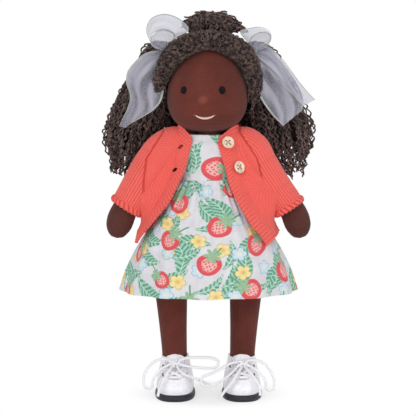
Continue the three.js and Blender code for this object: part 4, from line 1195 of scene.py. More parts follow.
def front_relief(side):
    sizes = measured(front_form(side), start=1.0)

    def relief(u, v):
        x, y = sizes(u, v)
        band = 1 - soft_step(BAND - 1 * MM, BAND + 1 * MM, -x)
        ridged = np.maximum(band, border(y))
        wave = 0.5 * MM * np.sin(y / 0.011 + u * 3)
        return ridged * garter_stitch(-x, y + wave) + (1 - ridged) * moss_stitch(-x, y)

    return relief


def off_buttonholes(centre):
    """False inside a slit that slants up towards the front edge."""
    for x, z in BUTTONHOLES:
        away = Vector((centre.x - x * MM, 0, centre.z - z * MM))
        along = away.dot(SLIT)
        across = away.dot(Vector((-SLIT.z, 0, SLIT.x)))
        if centre.y < 0 and (along / 3.0) ** 2 + (across / 1.6) ** 2 < 1e-6:
            return False
    return True


for side in SIDES:
    form = front_form(side)
    front = laid(
        side + "_cardigan_front", 135, 200, form, relief=front_relief(side), keep=off_buttonholes,
        cloth=measured(form), wall=KNIT,
    )
    worn(front, coral_knit, with_leg(side, BEND_DOWN), "knit", f"cardigan_{side}_front")
    as_cloth(front, 0.11)

back_sizes = measured(back_form, start=0.5)


def back_relief(u, v):
    x, y = back_sizes(u, v)
    ridged = border(y)
    return ridged * garter_stitch(x, y) + (1 - ridged) * stocking_stitch(x, y)


cardigan_back = laid(
    "cardigan_back_cloth", 240, 124, back_form, relief=back_relief, cloth=measured(back_form), wall=KNIT
)
worn(cardigan_back, coral_knit, "torso", "knit", "cardigan_back")
as_cloth(cardigan_back, 0.11)

# %% Sleeves with rolled cuffs
SLEEVE_ROWS = {
    "left": [
        (0, 23, 254, 14, 11), (0.1, 33, 252.4, 17.6, 14.2), (0.22, 41.5, 247.4, 18.2, 16.6),
        (0.42, 50.5, 234, 17, 17.4), (0.7, 64.5, 212.5, 15.8, 16.8), (0.92, 77, 195, 15.2, 16),
        (1, 80.5, 189.5, 15.2, 15.8),
    ],
    "right": [
        (0, 23, 254, 14, 11), (0.1, 33, 252.4, 17.6, 14.2), (0.22, 42.5, 247.4, 18.4, 16.6),
        (0.42, 54, 235, 18, 17.4), (0.7, 68, 213, 17, 17), (0.92, 78.5, 195.5, 16, 16),
        (1, 82, 190, 15.6, 15.8),
    ],
}
CUFF_RADIUS, CUFF_LUMPS = 3.1 * MM, 21
RAGLAN_HEIGHTS = np.array([181, 214, 240, 265]) * MM
RAGLAN = {"left": np.array([57.3, 54.5, 48, 31]) * MM, "right": np.array([64, 64.5, 61, 45]) * MM}


def cuff_relief(u, v):
    """Lumps of thick yarn that lean round the roll."""
    lump = 0.5 + 0.5 * np.cos(2 * math.pi * (CUFF_LUMPS * u + 0.35 * np.sin(2 * math.pi * v)))
    return 1.15 * MM * lump**0.7


for side, sign in SIDES.items():
    form = limb_form([(share, sign * x, 0, *rest) for share, x, *rest in SLEEVE_ROWS[side]])
    sizes = measured(form, around=True)

    def sleeve_relief(u, v):
        columns = 37 * STITCH
        _, y = sizes(u, v)
        points = form(u, v)
        off_seam = sign * points[:, 0] - np.interp(points[:, 2], RAGLAN_HEIGHTS, RAGLAN[side])
        in_front = soft_step(0, 4 * MM, -points[:, 1])
        body = (1 - soft_step(-0.6 * MM, 0.6 * MM, off_seam)) * in_front
        stitches = (1 - body) * stocking_stitch(u * columns, y) + body * moss_stitch(u * columns, y)
        return stitches * soft_step(0, 0.03, v) - 0.9 * MM * near(off_seam, 0.9 * MM) * in_front

    sleeve = laid(
        side + "_sleeve_cloth", 185, 140, form, relief=sleeve_relief, keep=off_buttonholes, wall=KNIT
    )
    worn(sleeve, coral_knit, side + "_arm", "knit", side + "_sleeve")
    as_cloth(sleeve, 0.082)
    middle = form(np.linspace(0, 1, 361)[:-1], np.full(360, 1.0)).mean(axis=0)

    def cuff_form(u, v):
        spin = 2 * math.pi * v
        path = form(u, np.full_like(u, 0.985))
        axis = np.array([sign * 0.55, 0, -0.835])
        out, down = np.cos(spin)[:, None] * CUFF_RADIUS * 0.9, np.sin(spin)[:, None] * CUFF_RADIUS * 1.15
        return path + unit(path - middle) * out - axis * down

    cuff = laid(side + "_sleeve_cuff", 252, 28, cuff_form, relief=cuff_relief)
    worn(cuff, coral_knit, side + "_arm", "knit", side + "_sleeve")
print("cardigan done")

# %% [markdown]
# ## Hair
#
# Her hair is crinkled wool yarn. An inner form holds each mass, painted darker than the yarn as painted shade
# between the strands, and the yarn itself lies over it: short loops on the cap and the roll round her face, long
# crinkled strands in the locks. Every strand is a thin line with four sides, bent by two waves of its own, so that
# no two are the same. All of them come from one seeded generator, and the hair is the same on each run.

# %% Hair finish
rng = np.random.default_rng(7)


def wool_yarn(place):
    fluff, tuft = noise(place, 900, 3, 0.7), noise(place, 300, 2)
    return tuft.ramp(0.32, 0.68) * 0.5 + fluff * 0.24 + 0.01, fluff


def inner_yarn(place):
    fluff = noise(place, 420, 4, 0.7)
    return fluff * 0.6, fluff


def wound_elastic(place):
    cord = ridges(place, 600, 0, 5200)
    return cord * 0.5 + 0.2, cord


hair_yarn = yarn_of(
    "dark_wool_yarn", (24, 15, 13), (140, 113, 105), wool_yarn, 0.6, 0.3, 0.0004,
    Roughness=0.8, Sheen_Weight=0.12, Specular_IOR_Level=0.3,
)
# Painted shade: the inner forms are a darker copy of the yarn, so the gaps between the strands read as shade.
hair_shade = yarn_of(
    "dark_wool_inside", (12, 8, 8), (66, 48, 43), inner_yarn, 0.6, 0.3, 0.0012,
    Roughness=0.9, Specular_IOR_Level=0.15,
)
elastic = yarn_of("dark_elastic", (16, 12, 12), (70, 60, 58), wound_elastic, 0.4, 0.2, 0.0003, Roughness=0.7)
dressed(elastic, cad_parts["hair_tie"])

# %% Inner forms of the hair
ROLL_PLACES = [
    (-47, -5.2, 298), (-48.4, -8.8, 309.5), (-45, -14, 323.2), (-37, -19.6, 338.2), (-22.6, -23.4, 349.8),
    (0, -26, 355.4), (22.6, -23.4, 349.8), (36.5, -19.6, 338.2), (43.4, -14, 322.8), (45.8, -8.8, 308.8),
    (44.6, -5.2, 297),
]
ROLL_RADII = [4.8, 6.2, 8, 10.2, 10.7, 9.6, 10.7, 10.4, 8.6, 7.2, 5.5]
LOCK_ROWS = [
    (0.06, 0.35, 0.2, 0.06, 0.13), (0.11, 0.43, 0.23, 0.15, 0.22), (0.21, 0.5, 0.3, 0.18, 0.3),
    (0.39, 0.58, 0.4, 0.24, 0.33), (0.56, 0.655, 0.46, 0.27, 0.35), (0.7, 0.71, 0.5, 0.29, 0.33),
    (0.85, 0.74, 0.55, 0.24, 0.26), (1, 0.83, 0.57, 0.11, 0.13),
]
BACK_LOCK_ROWS = [
    (0.02, 0, 0.42, 0.28, 0.22), (0.2, 0, 0.58, 0.39, 0.32), (0.42, 0, 0.66, 0.46, 0.34),
    (0.64, 0, 0.7, 0.48, 0.3), (0.84, 0, 0.73, 0.43, 0.25), (1, 0, 0.76, 0.31, 0.15),
]


HAIR_SPAN, HAIR_DEPTH, HAIR_TOP, HAIR_LENGTH = 107, 60, 357, 138


def lock_form(rows, sign, shrink=1.0, wider=1.0):
    """The form of a mass of locks, from shares of its span, depth and length."""
    first, last = rows[0][0], rows[-1][0]
    return limb_form(
        [
            ((drop - first) / (last - first), sign * HAIR_SPAN * out, HAIR_DEPTH * back,
             HAIR_TOP - HAIR_LENGTH * drop, HAIR_SPAN * wide * shrink * wider, HAIR_DEPTH * deep * shrink)
            for drop, out, back, wide, deep in rows
        ]
    )


def core_rows(rows):
    """The rows of the dark core, which ends well above the loose ends."""
    kept = [row for row in rows if row[0] < 0.75]
    drop, out, back, wide, deep = kept[-1]
    return [*kept, (drop + 0.09, out + 0.02, back + 0.02, 0.4 * wide, 0.4 * deep)]


NECK_TO_HEAD = ("neck", "head", (0, 0, 0.235), (0, 0, 0.32))
LOCKS = {
    "left": (1, LOCK_ROWS, "hair_left_locks", 160),
    "right": (-1, LOCK_ROWS, "hair_right_locks", 160),
    "back": (0, BACK_LOCK_ROWS, "hair_back_locks", 170),
}
for name, (sign, rows, node, _) in LOCKS.items():
    core = laid(f"hair_{name}_inner", 40, 50, lock_form(core_rows(rows), sign, 0.66, 1.2 if sign else 1.34))
    worn(core, hair_shade, NECK_TO_HEAD, "hair", node)


def cap_form(u, v):
    return egg(u, v, (0.0448, 0.0438), 0.0598, 0.0375, 0.84, 0.8)


def under_hair(centre):
    """Behind the hairline, a plane that leans back over the ears, and above the nape."""
    hairline = 0.346 - (centre.y + 0.02) / math.tan(math.radians(17))
    return centre.z > max(0.284, hairline)


roll_rows = zip(np.linspace(0, 1, 11), ROLL_PLACES, np.array(ROLL_RADII) * 0.86)
roll_form = limb_form([(share, *place, radius, radius) for share, place, radius in roll_rows])
TOPKNOT_ROWS = [
    (0, 0, 10, 355, 17, 13), (0.25, 1.5, 11, 361.5, 18, 14), (0.5, 4, 12, 367.5, 20, 14),
    (0.72, 3.5, 12, 373, 16, 12), (0.88, 2.5, 12, 376.5, 10, 8), (1, 1, 12, 378.5, 0.1, 0.1),
]


def topknot_form(u, v):
    lean, back, z, wide, deep = read_table(TOPKNOT_ROWS, v).T * MM
    turn = turn_at(u)
    return np.column_stack([lean + wide * np.cos(turn), back + deep * np.sin(turn), z])


for name, columns, rows, form, keep, node in [
    ("hair_cap_inner", 120, 90, cap_form, under_hair, "hair_cap"),
    ("hair_roll_inner", 32, 100, roll_form, None, "hair_front_roll"),
    ("hair_topknot_inner", 64, 30, topknot_form, None, "hair_topknot"),
]:
    worn(laid(name, columns, rows, form, keep=keep), hair_shade, "head", "hair", node)
print("inner forms of the hair done")


# %% Short loops on the cap and the roll
def curls(name, node, roots, outs, reach, radius):
    """Small open loops of yarn that stand on the roots and lie over their neighbours."""
    paths = []
    share = np.linspace(0, 1, 11)[:, None]
    for root, out in zip(roots, outs):
        side = unit(np.cross(out, rng.normal(size=3)))
        other = np.cross(out, side)
        turns = rng.uniform(0.9, 1.5) * 2 * math.pi
        start = rng.uniform(0, 2 * math.pi)
        size = reach * rng.uniform(0.75, 1.25)
        swing = start + turns * share
        drift = side * (share - 0.5) * size * rng.uniform(0.4, 1.6)
        ring = side * np.cos(swing) * size * 0.62 + other * np.sin(swing) * size * 0.62
        lift = out * (np.sin(math.pi * share) * size * rng.uniform(0.35, 0.95) - 0.3 * size)
        paths.append(root + ring + drift + lift)
    worn(cords_of(name, paths, radius), hair_yarn, "head", "hair", node)
    print(name, len(paths), "loops")


def scattered(form, count, low=0.0, high=1.0, keep=None):
    """Random places on a form with their outward normals, evenly by area."""
    u, v = rng.uniform(size=count * 6), rng.uniform(low, high, size=count * 6)
    normals = facing(form, u, v)
    weight = np.linalg.norm(normals, axis=1)
    places = form(u, v)
    chosen = rng.uniform(size=len(u)) * weight.max() < weight
    if keep is not None:
        chosen &= np.array([keep(Vector(place)) for place in places])
    index = np.flatnonzero(chosen)[:count]
    return places[index], unit(normals[index])


curls("hair_roll_curls", "hair_front_roll", *scattered(roll_form, 1700), 2.7 * MM, 0.42 * MM)
curls("hair_cap_curls", "hair_cap", *scattered(cap_form, 1000, 0, 0.75, under_hair), 3.4 * MM, 0.66 * MM)


# %% Long crinkled strands
GOLDEN_SHARE = 0.618034


def crinkled(base, radius, length, points):
    """A path bent by a crinkle of its own, with a slower wander under it."""
    run = steps_along(base)
    even = np.linspace(0, run[-1], points)
    path = at(even, run, base)
    phase = np.cumsum(rng.uniform(0.75, 1.25, points)) * (even[1] - even[0]) * 2 * math.pi / length
    start, tilt = rng.uniform(0, 2 * math.pi, 2)
    sine = np.sin(phase + start)
    ring = np.column_stack([np.cos(phase + start), sine * np.cos(tilt), sine * np.sin(tilt) * 0.6])
    slow = np.column_stack([np.sin(even * rng.uniform(90, 160) + rng.uniform(0, 6)) for _ in range(3)])
    swell = 1 + 0.4 * np.sin(even * rng.uniform(250, 500) + rng.uniform(0, 6))
    grow = (np.minimum(even / 0.02, 1) * swell)[:, None]
    return path + grow * (ring * radius + slow * radius * rng.uniform(0.8, 1.8))


def locks(sign, rows, count):
    """Strands over and in a mass of locks, from its top to loose ends of unequal length."""
    form = lock_form(rows, sign)
    centre = lock_form(rows, sign, 1e-3)
    paths = []
    for i in range(count):
        angle, spread = i * GOLDEN_SHARE % 1, math.sqrt(rng.uniform(0.3, 1.0)) * 0.98
        end = rng.uniform(0.84, 1.0) if rng.uniform() < 0.75 else rng.uniform(0.6, 0.84)
        v = np.linspace(0, end, 40)
        turn = np.full(40, angle) + np.linspace(0, rng.normal() * 0.06, 40)
        middle = centre(turn, v)
        stray = min(rng.exponential(0.05), 0.16) * v[:, None] ** 2
        base = middle + (form(turn, v) - middle) * (spread + stray)
        past = (base[-1] - base[-4]) * (0.3, 0.3, 1)
        base = np.vstack([base, base[-1] + past * rng.uniform(0.1, 0.45)])
        length = rng.uniform(6, 10) * MM
        paths.append(crinkled(base, rng.uniform(0.8, 1.5) * MM, length, 115))
    return paths


for name, (sign, rows, node, count) in LOCKS.items():
    strands = cords_of(f"hair_{name}_strands", locks(sign, rows, count), 0.86 * MM)
    worn(strands, hair_yarn, NECK_TO_HEAD, "hair", node)
    print(strands.name, len(strands.data.polygons), "faces")

paths = []
for i in range(230):
    turn, lean = rng.uniform(0, 2 * math.pi), rng.uniform(0.03, 1.0) ** 0.5
    across, back = math.cos(turn), math.sin(turn)
    reach = (33 if across > 0 else 26) * lean
    root = np.array([(6 + 12 * lean) * across, 11 + (5 + 7 * lean) * back, 360.5 - 2 * lean])
    out = np.array([reach * across + 2, 12 + 15 * back * lean, 384 - (16 if across > 0 else 9) * lean**2])
    bend = (root + out) / 2 + np.array([0, 0, 3.5 * lean])
    far = out + np.array([3 * across, 1.5 * back, -5 * lean * rng.uniform(0.2, 1.2)])
    home = (out + root) / 2 + rng.normal(size=3) * 2
    places = [root, bend, out, far] if i % 3 else [root, bend, out, far, home]
    base = path_through(np.array(places) * MM, 60)
    paths.append(crinkled(base, rng.uniform(0.9, 1.4) * MM, rng.uniform(5, 8) * MM, 44))
worn(cords_of("hair_topknot_strands", paths, 0.9 * MM), hair_yarn, "head", "hair", "hair_topknot")
print("topknot", len(paths), "strands")

# %% [markdown]
# ## Ribbon bows
#
# The bows are organza, a stiff sheer ribbon with a firm woven edge. Sheer cloth can be made clear by glass-like
# transmission or by plain alpha. Alpha is used, because organza is a fine open net that lets light straight
# through. Each part is a band laid between two edge curves, and the denser edges read as paler lines. Soft folds
# are painted on as streaks, a little more opaque where paler, and otherwise painted highlight and shade.

# %% Organza
def organza(tree):
    cloth = coordinates(tree, "UV")
    x, y, _ = split(cloth)
    fold = noise(scaled(cloth, (1, 0.16, 1)), 95, 1, 0.4)
    rim = attribute(tree, "selvedge").ramp(0.87, 0.93)
    thread = ((x * 9000).sine() * (y * 9000).sine()).ramp(-1, 1)
    # Painted highlight and shade: soft folds that the band's shape doesn't have are painted as paler and darker
    # streaks.
    colour = mixed(fold.ramp(0.35, 0.68), (148, 147, 163), (207, 206, 220))
    colour = mixed(rim, colour, (172, 180, 174))
    alpha = (fold.ramp(0.35, 0.75) * 0.12 + thread * 0.01 + 0.33).over(rim * 0.85)
    return {"Base Color": colour, "Alpha": alpha, "Height": fold, "Depth": 0.0015}


organza_ribbon = finish_of("organza_ribbon", organza, Roughness=0.3, Sheen_Weight=0.3, Specular_IOR_Level=0.5)
SHEER = 0.25 * MM


def ribbon(name, columns, rows, edges, bend):
    """A sheer band laid between two edges and bent by a rule, with its selvedges marked."""
    first, other = (path_through(np.column_stack(edge) * MM, 81) for edge in edges)
    stand = np.linspace(0, 1, 81)

    def place(u, v):
        low, high = at(v, stand, first), at(v, stand, other)
        return low + (high - low) * u[:, None] + np.column_stack(bend(u, v, np.sin(math.pi * np.clip(v, 0, 1))))

    sizes = measured(place)
    widths = sizes(np.full(101, 1.0), np.linspace(0, 1, 101))
    piece = laid(name, columns, rows, place, cloth=sizes, wall=SHEER)
    loops = read(piece.data.uv_layers["cloth"].data, "uv", 2)
    wide = np.interp(-loops[1::2], widths[1], widths[0])
    selvedge = piece.data.attributes.new("selvedge", "FLOAT", "CORNER")
    selvedge.data.foreach_set("value", np.abs(2 * loops[0::2] / wide - 1).astype(np.float32))
    return piece


def ribbon_band(name, edge_a, edge_b, depth_a, depth_b, ripple=1.2, columns=28, rows=80):
    """A sheer band between two edges, each given in the doll's front view, with its depth along y."""

    def bend(u, v, middle):
        wave = ripple * MM * np.sin(u * 13 + 2.5 * np.sin(v * 5)) * middle**0.5
        return 0 * u, -wave - 3.0 * MM * np.sin(math.pi * u) * middle, 0 * u

    edges = (edge_a[:, 0], depth_a, edge_a[:, 1]), (edge_b[:, 0], depth_b, edge_b[:, 1])
    return ribbon(name, columns, rows, edges, bend)


def ribbon_loop(name, outlines, depth):
    """A loop of the bow: a band between its two edges, of which the front one is the smaller oval."""
    edges = []
    for outline, reach in zip(outlines, (4, -8)):
        x, z = np.array(outline, float).T
        edges.append((x, depth + reach * np.sin(np.linspace(0, math.pi, len(x))) ** 0.7, z))

    def bend(u, v, middle):
        return 0 * u, 0 * u, 0.5 * MM * np.sin(u * 9 + v * 7) * middle

    return ribbon(name, 28, 110, edges, bend)


BOWS = {
    "right": {
        "knot": (-43, 349),
        "loop": (
            [(-42, 350), (-33, 357), (-19, 366), (-28, 376), (-46.5, 381.5), (-57, 377), (-61.5, 367), (-58, 356),
             (-50, 349), (-43, 347)],
            [(-41, 349), (-36, 355), (-33.5, 361), (-41, 366), (-50, 365), (-57, 358), (-56.5, 351), (-51, 347),
             (-46, 346), (-43, 346)],
        ),
        "tails": [
            (
                [(-45, 346), (-52, 345.5), (-62, 343), (-73, 334), (-80.5, 323), (-81.3, 315), (-77.5, 302),
                 (-88, 271)],
                [(-43, 344), (-42, 340), (-41, 334), (-41, 326), (-42, 318), (-43.5, 309), (-45.6, 298.5),
                 (-82, 270)],
            ),
        ],
    },
    "left": {
        "knot": (44, 345),
        "loop": (
            [(44, 347), (37, 355), (31, 364), (41, 367.5), (52, 368.8), (60.5, 364.5), (62, 358), (58, 351.5),
             (51, 347.5), (45, 345)],
            [(43.5, 346), (40.5, 352), (42, 358), (48.4, 362.6), (56, 364), (61.3, 360), (60.8, 354), (57, 349.5),
             (51, 346), (45, 344)],
        ),
        "tails": [
            (
                [(46, 347), (58, 350), (66, 344), (73.7, 336), (82, 325), (89, 315.5), (96, 307), (105, 297.3)],
                [(45, 343), (52, 335), (60, 327), (68, 318), (76, 309), (84, 301), (89, 295), (93, 291)],
            ),
            (
                [(46, 346), (60, 345), (72, 335), (82, 322), (89, 310), (93, 300), (94, 293), (92, 286)],
                [(43.5, 343), (47, 336), (49.5, 327), (49, 314), (50.5, 301), (57, 290), (64, 281), (73.7, 271.5)],
            ),
        ],
    },
}
for side, parts in BOWS.items():
    pieces = [ribbon_loop(side + "_bow_loop", parts["loop"], -4.0)]
    front_edge = np.array(parts["loop"][1], float)
    upper, lower = front_edge[:6], path_through(front_edge[:4:-1], 6)
    leaf = np.array([-4, -2, 0, 0, -2, -6.0])
    pieces.append(ribbon_band(side + "_bow_loop_leaf", upper, lower, leaf, leaf, 0.5, columns=16, rows=50))
    for i, tail in enumerate(parts["tails"]):
        outer, inner = np.array(tail, float)
        forward = np.linspace(-6, -13 + 5 * i, len(outer))
        pieces.append(ribbon_band(f"{side}_bow_tail_{i + 1}", outer, inner, forward + 3, forward))
    for piece in pieces:
        worn(piece, organza_ribbon, "head", "ribbon", side + "_bow_ribbon")
        as_cloth(piece, 0.02 if "leaf" in piece.name else 0.04)

    def knot_form(u, v, centre=parts["knot"]):
        turn, lift = 2 * math.pi * u, math.pi * (v - 0.5)
        pinch = 1 + 0.07 * np.sin(8 * turn)
        half = np.cos(lift) ** 0.6 * pinch
        x, z = centre
        around = 5.2 * half * np.cos(turn), 4.6 * half * np.sin(turn), 5.6 * np.sin(lift)
        return MM * (np.column_stack(around) + (x, -3, z))

    worn(laid(side + "_bow_wrap", 64, 24, knot_form), organza_ribbon, "head", "ribbon", side + "_bow_knot")
    print(side, "bow", [piece.name for piece in pieces])

# %% [markdown]
# ## Buttons
#
# Two wooden-looking buttons are sewn to her left front with brown-red thread. A turned button is a
# profile spun round its axis: a dished middle inside a rounded rim. The four holes are drawn down out of
# the same surface, and the crossed stitches are short curves that dip into them.


# %% Buttons and their thread
def flat_axis(node):
    """The middle of a thin round node and its axis, towards the front."""
    points = np.array([vert.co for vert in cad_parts[node].data.vertices])
    low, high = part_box(node)
    middle = (np.array(low) + np.array(high)) / 2
    _, _, axes = np.linalg.svd(points - points.mean(axis=0), full_matrices=False)
    return middle, axes[2] * (-1 if axes[2][1] > 0 else 1)


def button_wood(tree):
    ring = noise(scaled(coordinates(tree), (1, 1, 0.25)), 420, 3, 0.55)
    deep = attribute(tree, "height").ramp(-1.0, -0.2, 1, 0)
    colour = mixed(ring.ramp(0.3, 0.7), (214, 188, 160), (246, 228, 206))
    return {"Base Color": mixed(deep, colour, (140, 66, 54)), "Height": ring, "Depth": 0.0001}


pale_wood = finish_of("pale_button_wood", button_wood, Roughness=0.38, Specular_IOR_Level=0.5)
button_thread = plied_of("button_thread", (126, 56, 44), (190, 112, 92), Roughness=0.7)
BUTTON_PROFILE = [
    (0, 0.05, 0.35), (0.34, 3.3, 0.35), (0.44, 3.9, 0.6), (0.54, 4.7, 1.1), (0.62, 5.5, 1.1), (0.7, 6.05, 0.6),
    (0.76, 6.1, 0), (0.84, 5.6, -0.9), (0.88, 5.1, -1.1), (1, 0.05, -1.1),
]
HOLES = [(-1.75, -1.75), (1.75, -1.75), (1.75, 1.75), (-1.75, 1.75)]
for which in ("upper", "lower"):
    middle, out = flat_axis("button_" + which)
    right = unit(np.cross(out, (0, 0, 1)))
    up = np.cross(right, out)

    def button_form(u, v):
        reach, rise = read_table(BUTTON_PROFILE, v).T * MM
        turn = -2 * math.pi * u
        return middle + (
            right * (reach * np.cos(turn))[:, None] + up * (reach * np.sin(turn))[:, None] + out * rise[:, None]
        )

    def hole_depth(u, v):
        away = button_form(u, v) - middle
        x, y, z = away @ right, away @ up, away @ out
        away = np.min([np.hypot(x - a * MM, y - b * MM) for a, b in HOLES], axis=0)
        return -1.3 * MM * (1 - soft_step(0.5 * MM, 0.9 * MM, away)) * (z > 0)

    button = laid("button_" + which + "_turned", 96, 90, button_form, relief=hole_depth)
    worn(button, pale_wood, "torso", "wood", "button_" + which)
    share = np.linspace(-1, 1, 15)
    rise = 0.62 - 1.2 * np.abs(share) ** 4
    crossed = []
    for x, y in HOLES[:2]:
        crossed.append([middle + (right * x * -s + up * y * -s + out * h) * MM for s, h in zip(share, rise)])
    thread = cords_of("button_thread_" + which + "_stitches", crossed, 0.24 * MM, sides=1)
    worn(thread, button_thread, "torso", "red_thread", "button_thread_" + which)
print("buttons done")

# %% [markdown]
# ## Shoes
#
# Small lace-up shoes of white patent cloth on dark rubber soles. The upper is one form that runs from
# the sole to the collar. A slanting plane parts it into the vamp, over the toes, and the quarters,
# which lap over it and carry the eyelets. Between them the tongue closes the throat.

# %% Shoe form
SHOE_MIDDLE, TOE, HEEL, SOLE_HALF = 33.5, 39.0, 27.0, 21.5
UPPER_FOOT, UPPER_HEIGHT = 6.6, 33.5
UPPER_SHARES = [
    (0, 0.385, 0.62, 0.665, 1), (0.26, 0.53, 0.8, 0.75, 0.74), (0.54, 0.78, 0.92, 0.86, 0.46),
    (0.8, 0.94, 0.935, 0.915, 0.2), (1, 0.935, 0.92, 0.9, 0),
]
UPPER_ROWS = [
    (v, TOE * toe, HEEL * heel, SOLE_HALF * wide, UPPER_FOOT + UPPER_HEIGHT * rise)
    for v, toe, heel, wide, rise in UPPER_SHARES
]
SOLE_ROWS = [
    (v, TOE * share, HEEL * share, SOLE_HALF * share, z)
    for v, share, z in [
        (0, 0.02, 6.2), (0.3, 0.94, 6.2), (0.36, 0.985, 5.8), (0.44, 1, 4.7), (0.7, 1, 1.7),
        (0.78, 0.985, 0.5), (0.84, 0.95, 0), (1, 0.02, 0),
    ]
]


def shoe_form(side, rows):
    def place(u, v):
        toe, heel, wide, z = read_table(rows, v).T * MM
        along, across = -np.cos(2 * math.pi * u), np.sin(2 * math.pi * u)
        y = (heel - toe) / 2 + (heel + toe) / 2 * along
        x = wide * (1 - 0.07 * (along + 1)) * np.sign(across) * np.abs(across) ** 0.8
        return np.column_stack([SIDES[side] * SHOE_MIDDLE * MM + x, y, np.maximum(z, 0)])

    return place


def shoe_front(x, z, inset=0.0):
    """How far forward the front of the upper is, in mm, at x from its middle and a height."""
    rows = np.array(UPPER_ROWS)[::-1][:, [4, 1, 2, 3]]
    toe, heel, wide = read_table(rows, np.clip(z, UPPER_FOOT, UPPER_FOOT + UPPER_HEIGHT)).T - inset
    sine = np.minimum((np.abs(x) / wide) ** 1.25, 1)
    return (heel - toe) / 2 - (heel + toe) / 2 * np.sqrt(1 - sine**2)


SEAM_SLANT = math.radians(50)
SEAM_POINT, SEAM_NORMAL = Vector((0, -7, 6.6)) * MM, Vector((0, math.cos(SEAM_SLANT), math.sin(SEAM_SLANT)))
THROAT_FOOT, THROAT_HALF, THROAT_FLARE = 21.0, 4.0, 0.26
EYELETS = [(11.6, 24.5), (11.6, 31.5)]


def line_at(distance, half, edge, soft):
    """1 on a line at a distance, with soft edges."""
    return abs(distance - half).ramp(edge, soft, 1, 0)


def white_patent(tree):
    place = coordinates(tree)
    x, y, z = split(place)
    grain = noise(place, 260, 2, 0.4)
    off_seam = (y - SEAM_POINT.y) * SEAM_NORMAL.y + (z - SEAM_POINT.z) * SEAM_NORMAL.z
    aside = abs(abs(x) - SHOE_MIDDLE * MM)
    off_throat = aside - (z - THROAT_FOOT * MM) * THROAT_FLARE - THROAT_HALF * MM
    front = (0 - y).ramp(0.004, 0.006)
    seam, edge = (
        line_at(distance, 0.0016, 0.0003, 0.0006) * (run * 3600).sine().ramp(-0.5, 0.3)
        for distance, run in ((off_seam, aside), (off_throat, z))
    )
    stitched = seam.over(edge * front * z.ramp(0.0205, 0.0215))
    offs = [(aside - across * MM, z - up * MM) for across, up in EYELETS]
    lower, upper = ((off_x * off_x + off_z * off_z).root() for off_x, off_z in offs)
    away = lower.under(upper)
    # Painted shade: each eyelet hole is painted dark brown, (96, 68, 60), for the shade inside it, and pressed in
    # by the bump.
    eyelet_hole_and_shade = away.ramp(0.0011, 0.0016, 1, 0) * front
    ring = line_at(away, 0.0026, 0.0002, 0.0007) * front
    colour = mixed(grain.ramp(0.3, 0.7), (245, 244, 250), (253, 252, 255))
    colour = mixed(stitched * 0.8, colour, (150, 150, 166))
    colour = mixed(eyelet_hole_and_shade, colour, (96, 68, 60))
    relief = grain * 0.12 + stitched * 0.5 + ring * 0.6 - eyelet_hole_and_shade * 1.2 + 0.5
    return {"Base Color": colour, "Height": relief, "Depth": 0.0004}


patent = finish_of("white_patent_cloth", white_patent, Roughness=0.24, Specular_IOR_Level=0.5)


def dark_rubber(tree):
    place = coordinates(tree)
    z = split(place)[2]
    speck = noise(place, 700, 3, 0.6)
    foot_patch_noise = noise(scaled(place, (1, 1, 3)), 160, 3, 0.7)
    # Paler grey in patches along the bottom 1.6 mm of the sole.
    paler_foot_patches = z.ramp(0.0, 0.0016, 1, 0) * foot_patch_noise.ramp(0.45, 0.7)
    colour = mixed(speck.ramp(0.3, 0.7), (22, 23, 33), (38, 38, 50))
    colour = mixed(paler_foot_patches * 0.5, colour, (112, 110, 114))
    welt = line_at(z, 0.0046, 0.0002, 0.0005)
    return {"Base Color": colour, "Height": speck * 0.4 - welt * 0.8 + 0.5, "Depth": 0.0002}


sole_rubber = finish_of("dark_sole_rubber", dark_rubber, Roughness=0.5, Specular_IOR_Level=0.4)
lace_cotton = plied_of(
    "lace_cotton", (238, 237, 244), (255, 254, 255), 3000.0, Roughness=0.75, Sheen_Weight=0.15
)

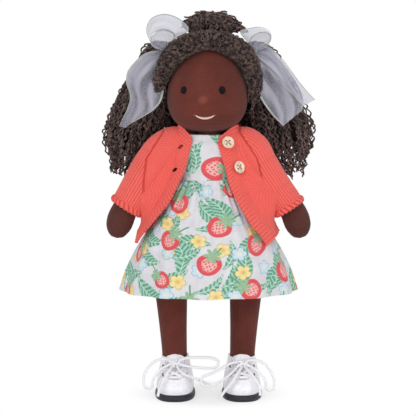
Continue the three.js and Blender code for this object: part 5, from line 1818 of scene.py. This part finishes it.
# %% Uppers, tongues, soles and lacing
for side, sign in SIDES.items():
    form = shoe_form(side, UPPER_ROWS)
    middle = sign * SHOE_MIDDLE * MM

    def in_throat(centre):
        half = (THROAT_HALF + (centre.z / MM - THROAT_FOOT) * THROAT_FLARE) * MM
        return centre.y < 0 and centre.z > THROAT_FOOT * MM and abs(centre.x - middle) < half

    def over_toes(centre):
        return (centre - SEAM_POINT).dot(SEAM_NORMAL) < 0

    throat = [
        ((middle + way * THROAT_HALF * MM, 0, THROAT_FOOT * MM), (1, 0, -way * THROAT_FLARE)) for way in (1, -1)
    ]
    cuts = [(SEAM_POINT, SEAM_NORMAL), ((0, 0, THROAT_FOOT * MM), (0, 0, 1)), *throat]
    vamp = laid(
        side + "_shoe_toe", 160, 70, form, wall=1.5 * MM, cuts=cuts,
        keep=lambda centre: over_toes(centre) and not in_throat(centre),
    )
    worn(vamp, patent, side + "_leg", "patent", side + "_shoe_vamp")
    quarters = laid(
        side + "_shoe_back", 160, 70, form, wall=1.5 * MM, cuts=cuts,
        relief=lambda u, v: np.full_like(u, 0.35 * MM),
        keep=lambda centre: not over_toes(centre) and not in_throat(centre),
    )
    worn(quarters, patent, side + "_leg", "patent", side + "_shoe_quarters")

    def tongue_form(u, v):
        x = -8.5 + 17 * u
        top = 43 - 2.6 * (x / 8.5) ** 2
        z = top + (19.5 - top) * v
        lift = 0.5 * np.sin(x * 0.9) * (1 - v) ** 3
        y = shoe_front(x, z, 1.9) - lift
        return np.column_stack([middle / MM + x, y, z]) * MM

    tongue = laid(side + "_shoe_tongue_cloth", 40, 50, tongue_form, wall=1.0 * MM)
    worn(tongue, patent, side + "_leg", "patent", side + "_shoe_tongue")
    sole = laid(side + "_shoe_sole_rubber", 120, 60, shoe_form(side, SOLE_ROWS))
    worn(sole, sole_rubber, side + "_leg", "sole", side + "_shoe_sole")

    low, high, span, knot_height = 24.5, 31.5, 10.2, 36.5
    runs = []
    for start, end, stand in [
        ((-span, low), (span, low), 0.6), ((-span, low), (span, high), 1.6), ((span, low), (-span, high), 2.8),
        ((-span, high), (0, knot_height), 1.6), ((span, high), (0, knot_height), 1.6),
    ]:
        share = np.linspace(0, 1, 17)
        x, z = start[0] + (end[0] - start[0]) * share, start[1] + (end[1] - start[1]) * share
        z = z - 1.0 * np.sin(math.pi * share)
        ease = np.sin(math.pi * share) ** 0.4 if end[0] else np.sin(0.5 * math.pi * share) ** 0.4
        y = shoe_front(x, z) + 1.2 - (2.6 + stand) * ease
        runs.append(np.column_stack([middle / MM + x, y, z]) * MM)
    turn = np.linspace(0, 2 * math.pi, 61)
    knot_front = shoe_front(np.zeros(1), np.full(1, knot_height))[0] - 6.4
    knot = np.column_stack(
        [
            middle / MM + 1.9 * (np.sin(turn) + 1.4 * np.sin(2 * turn)),
            knot_front - 1.9 * np.sin(3 * turn),
            36.2 + 1.5 * (np.cos(turn) - 1.4 * np.cos(2 * turn)),
        ]
    ) * MM
    lacing = cords_of(side + "_shoe_lacing", [*runs, knot], LACE / 2, sides=3)
    worn(lacing, lace_cotton, side + "_leg", "lace", side + "_lace_crossing")
    print(side, "shoe", len(vamp.data.polygons) + len(quarters.data.polygons), "faces in its upper")
dressed(lace_cotton, *laces)
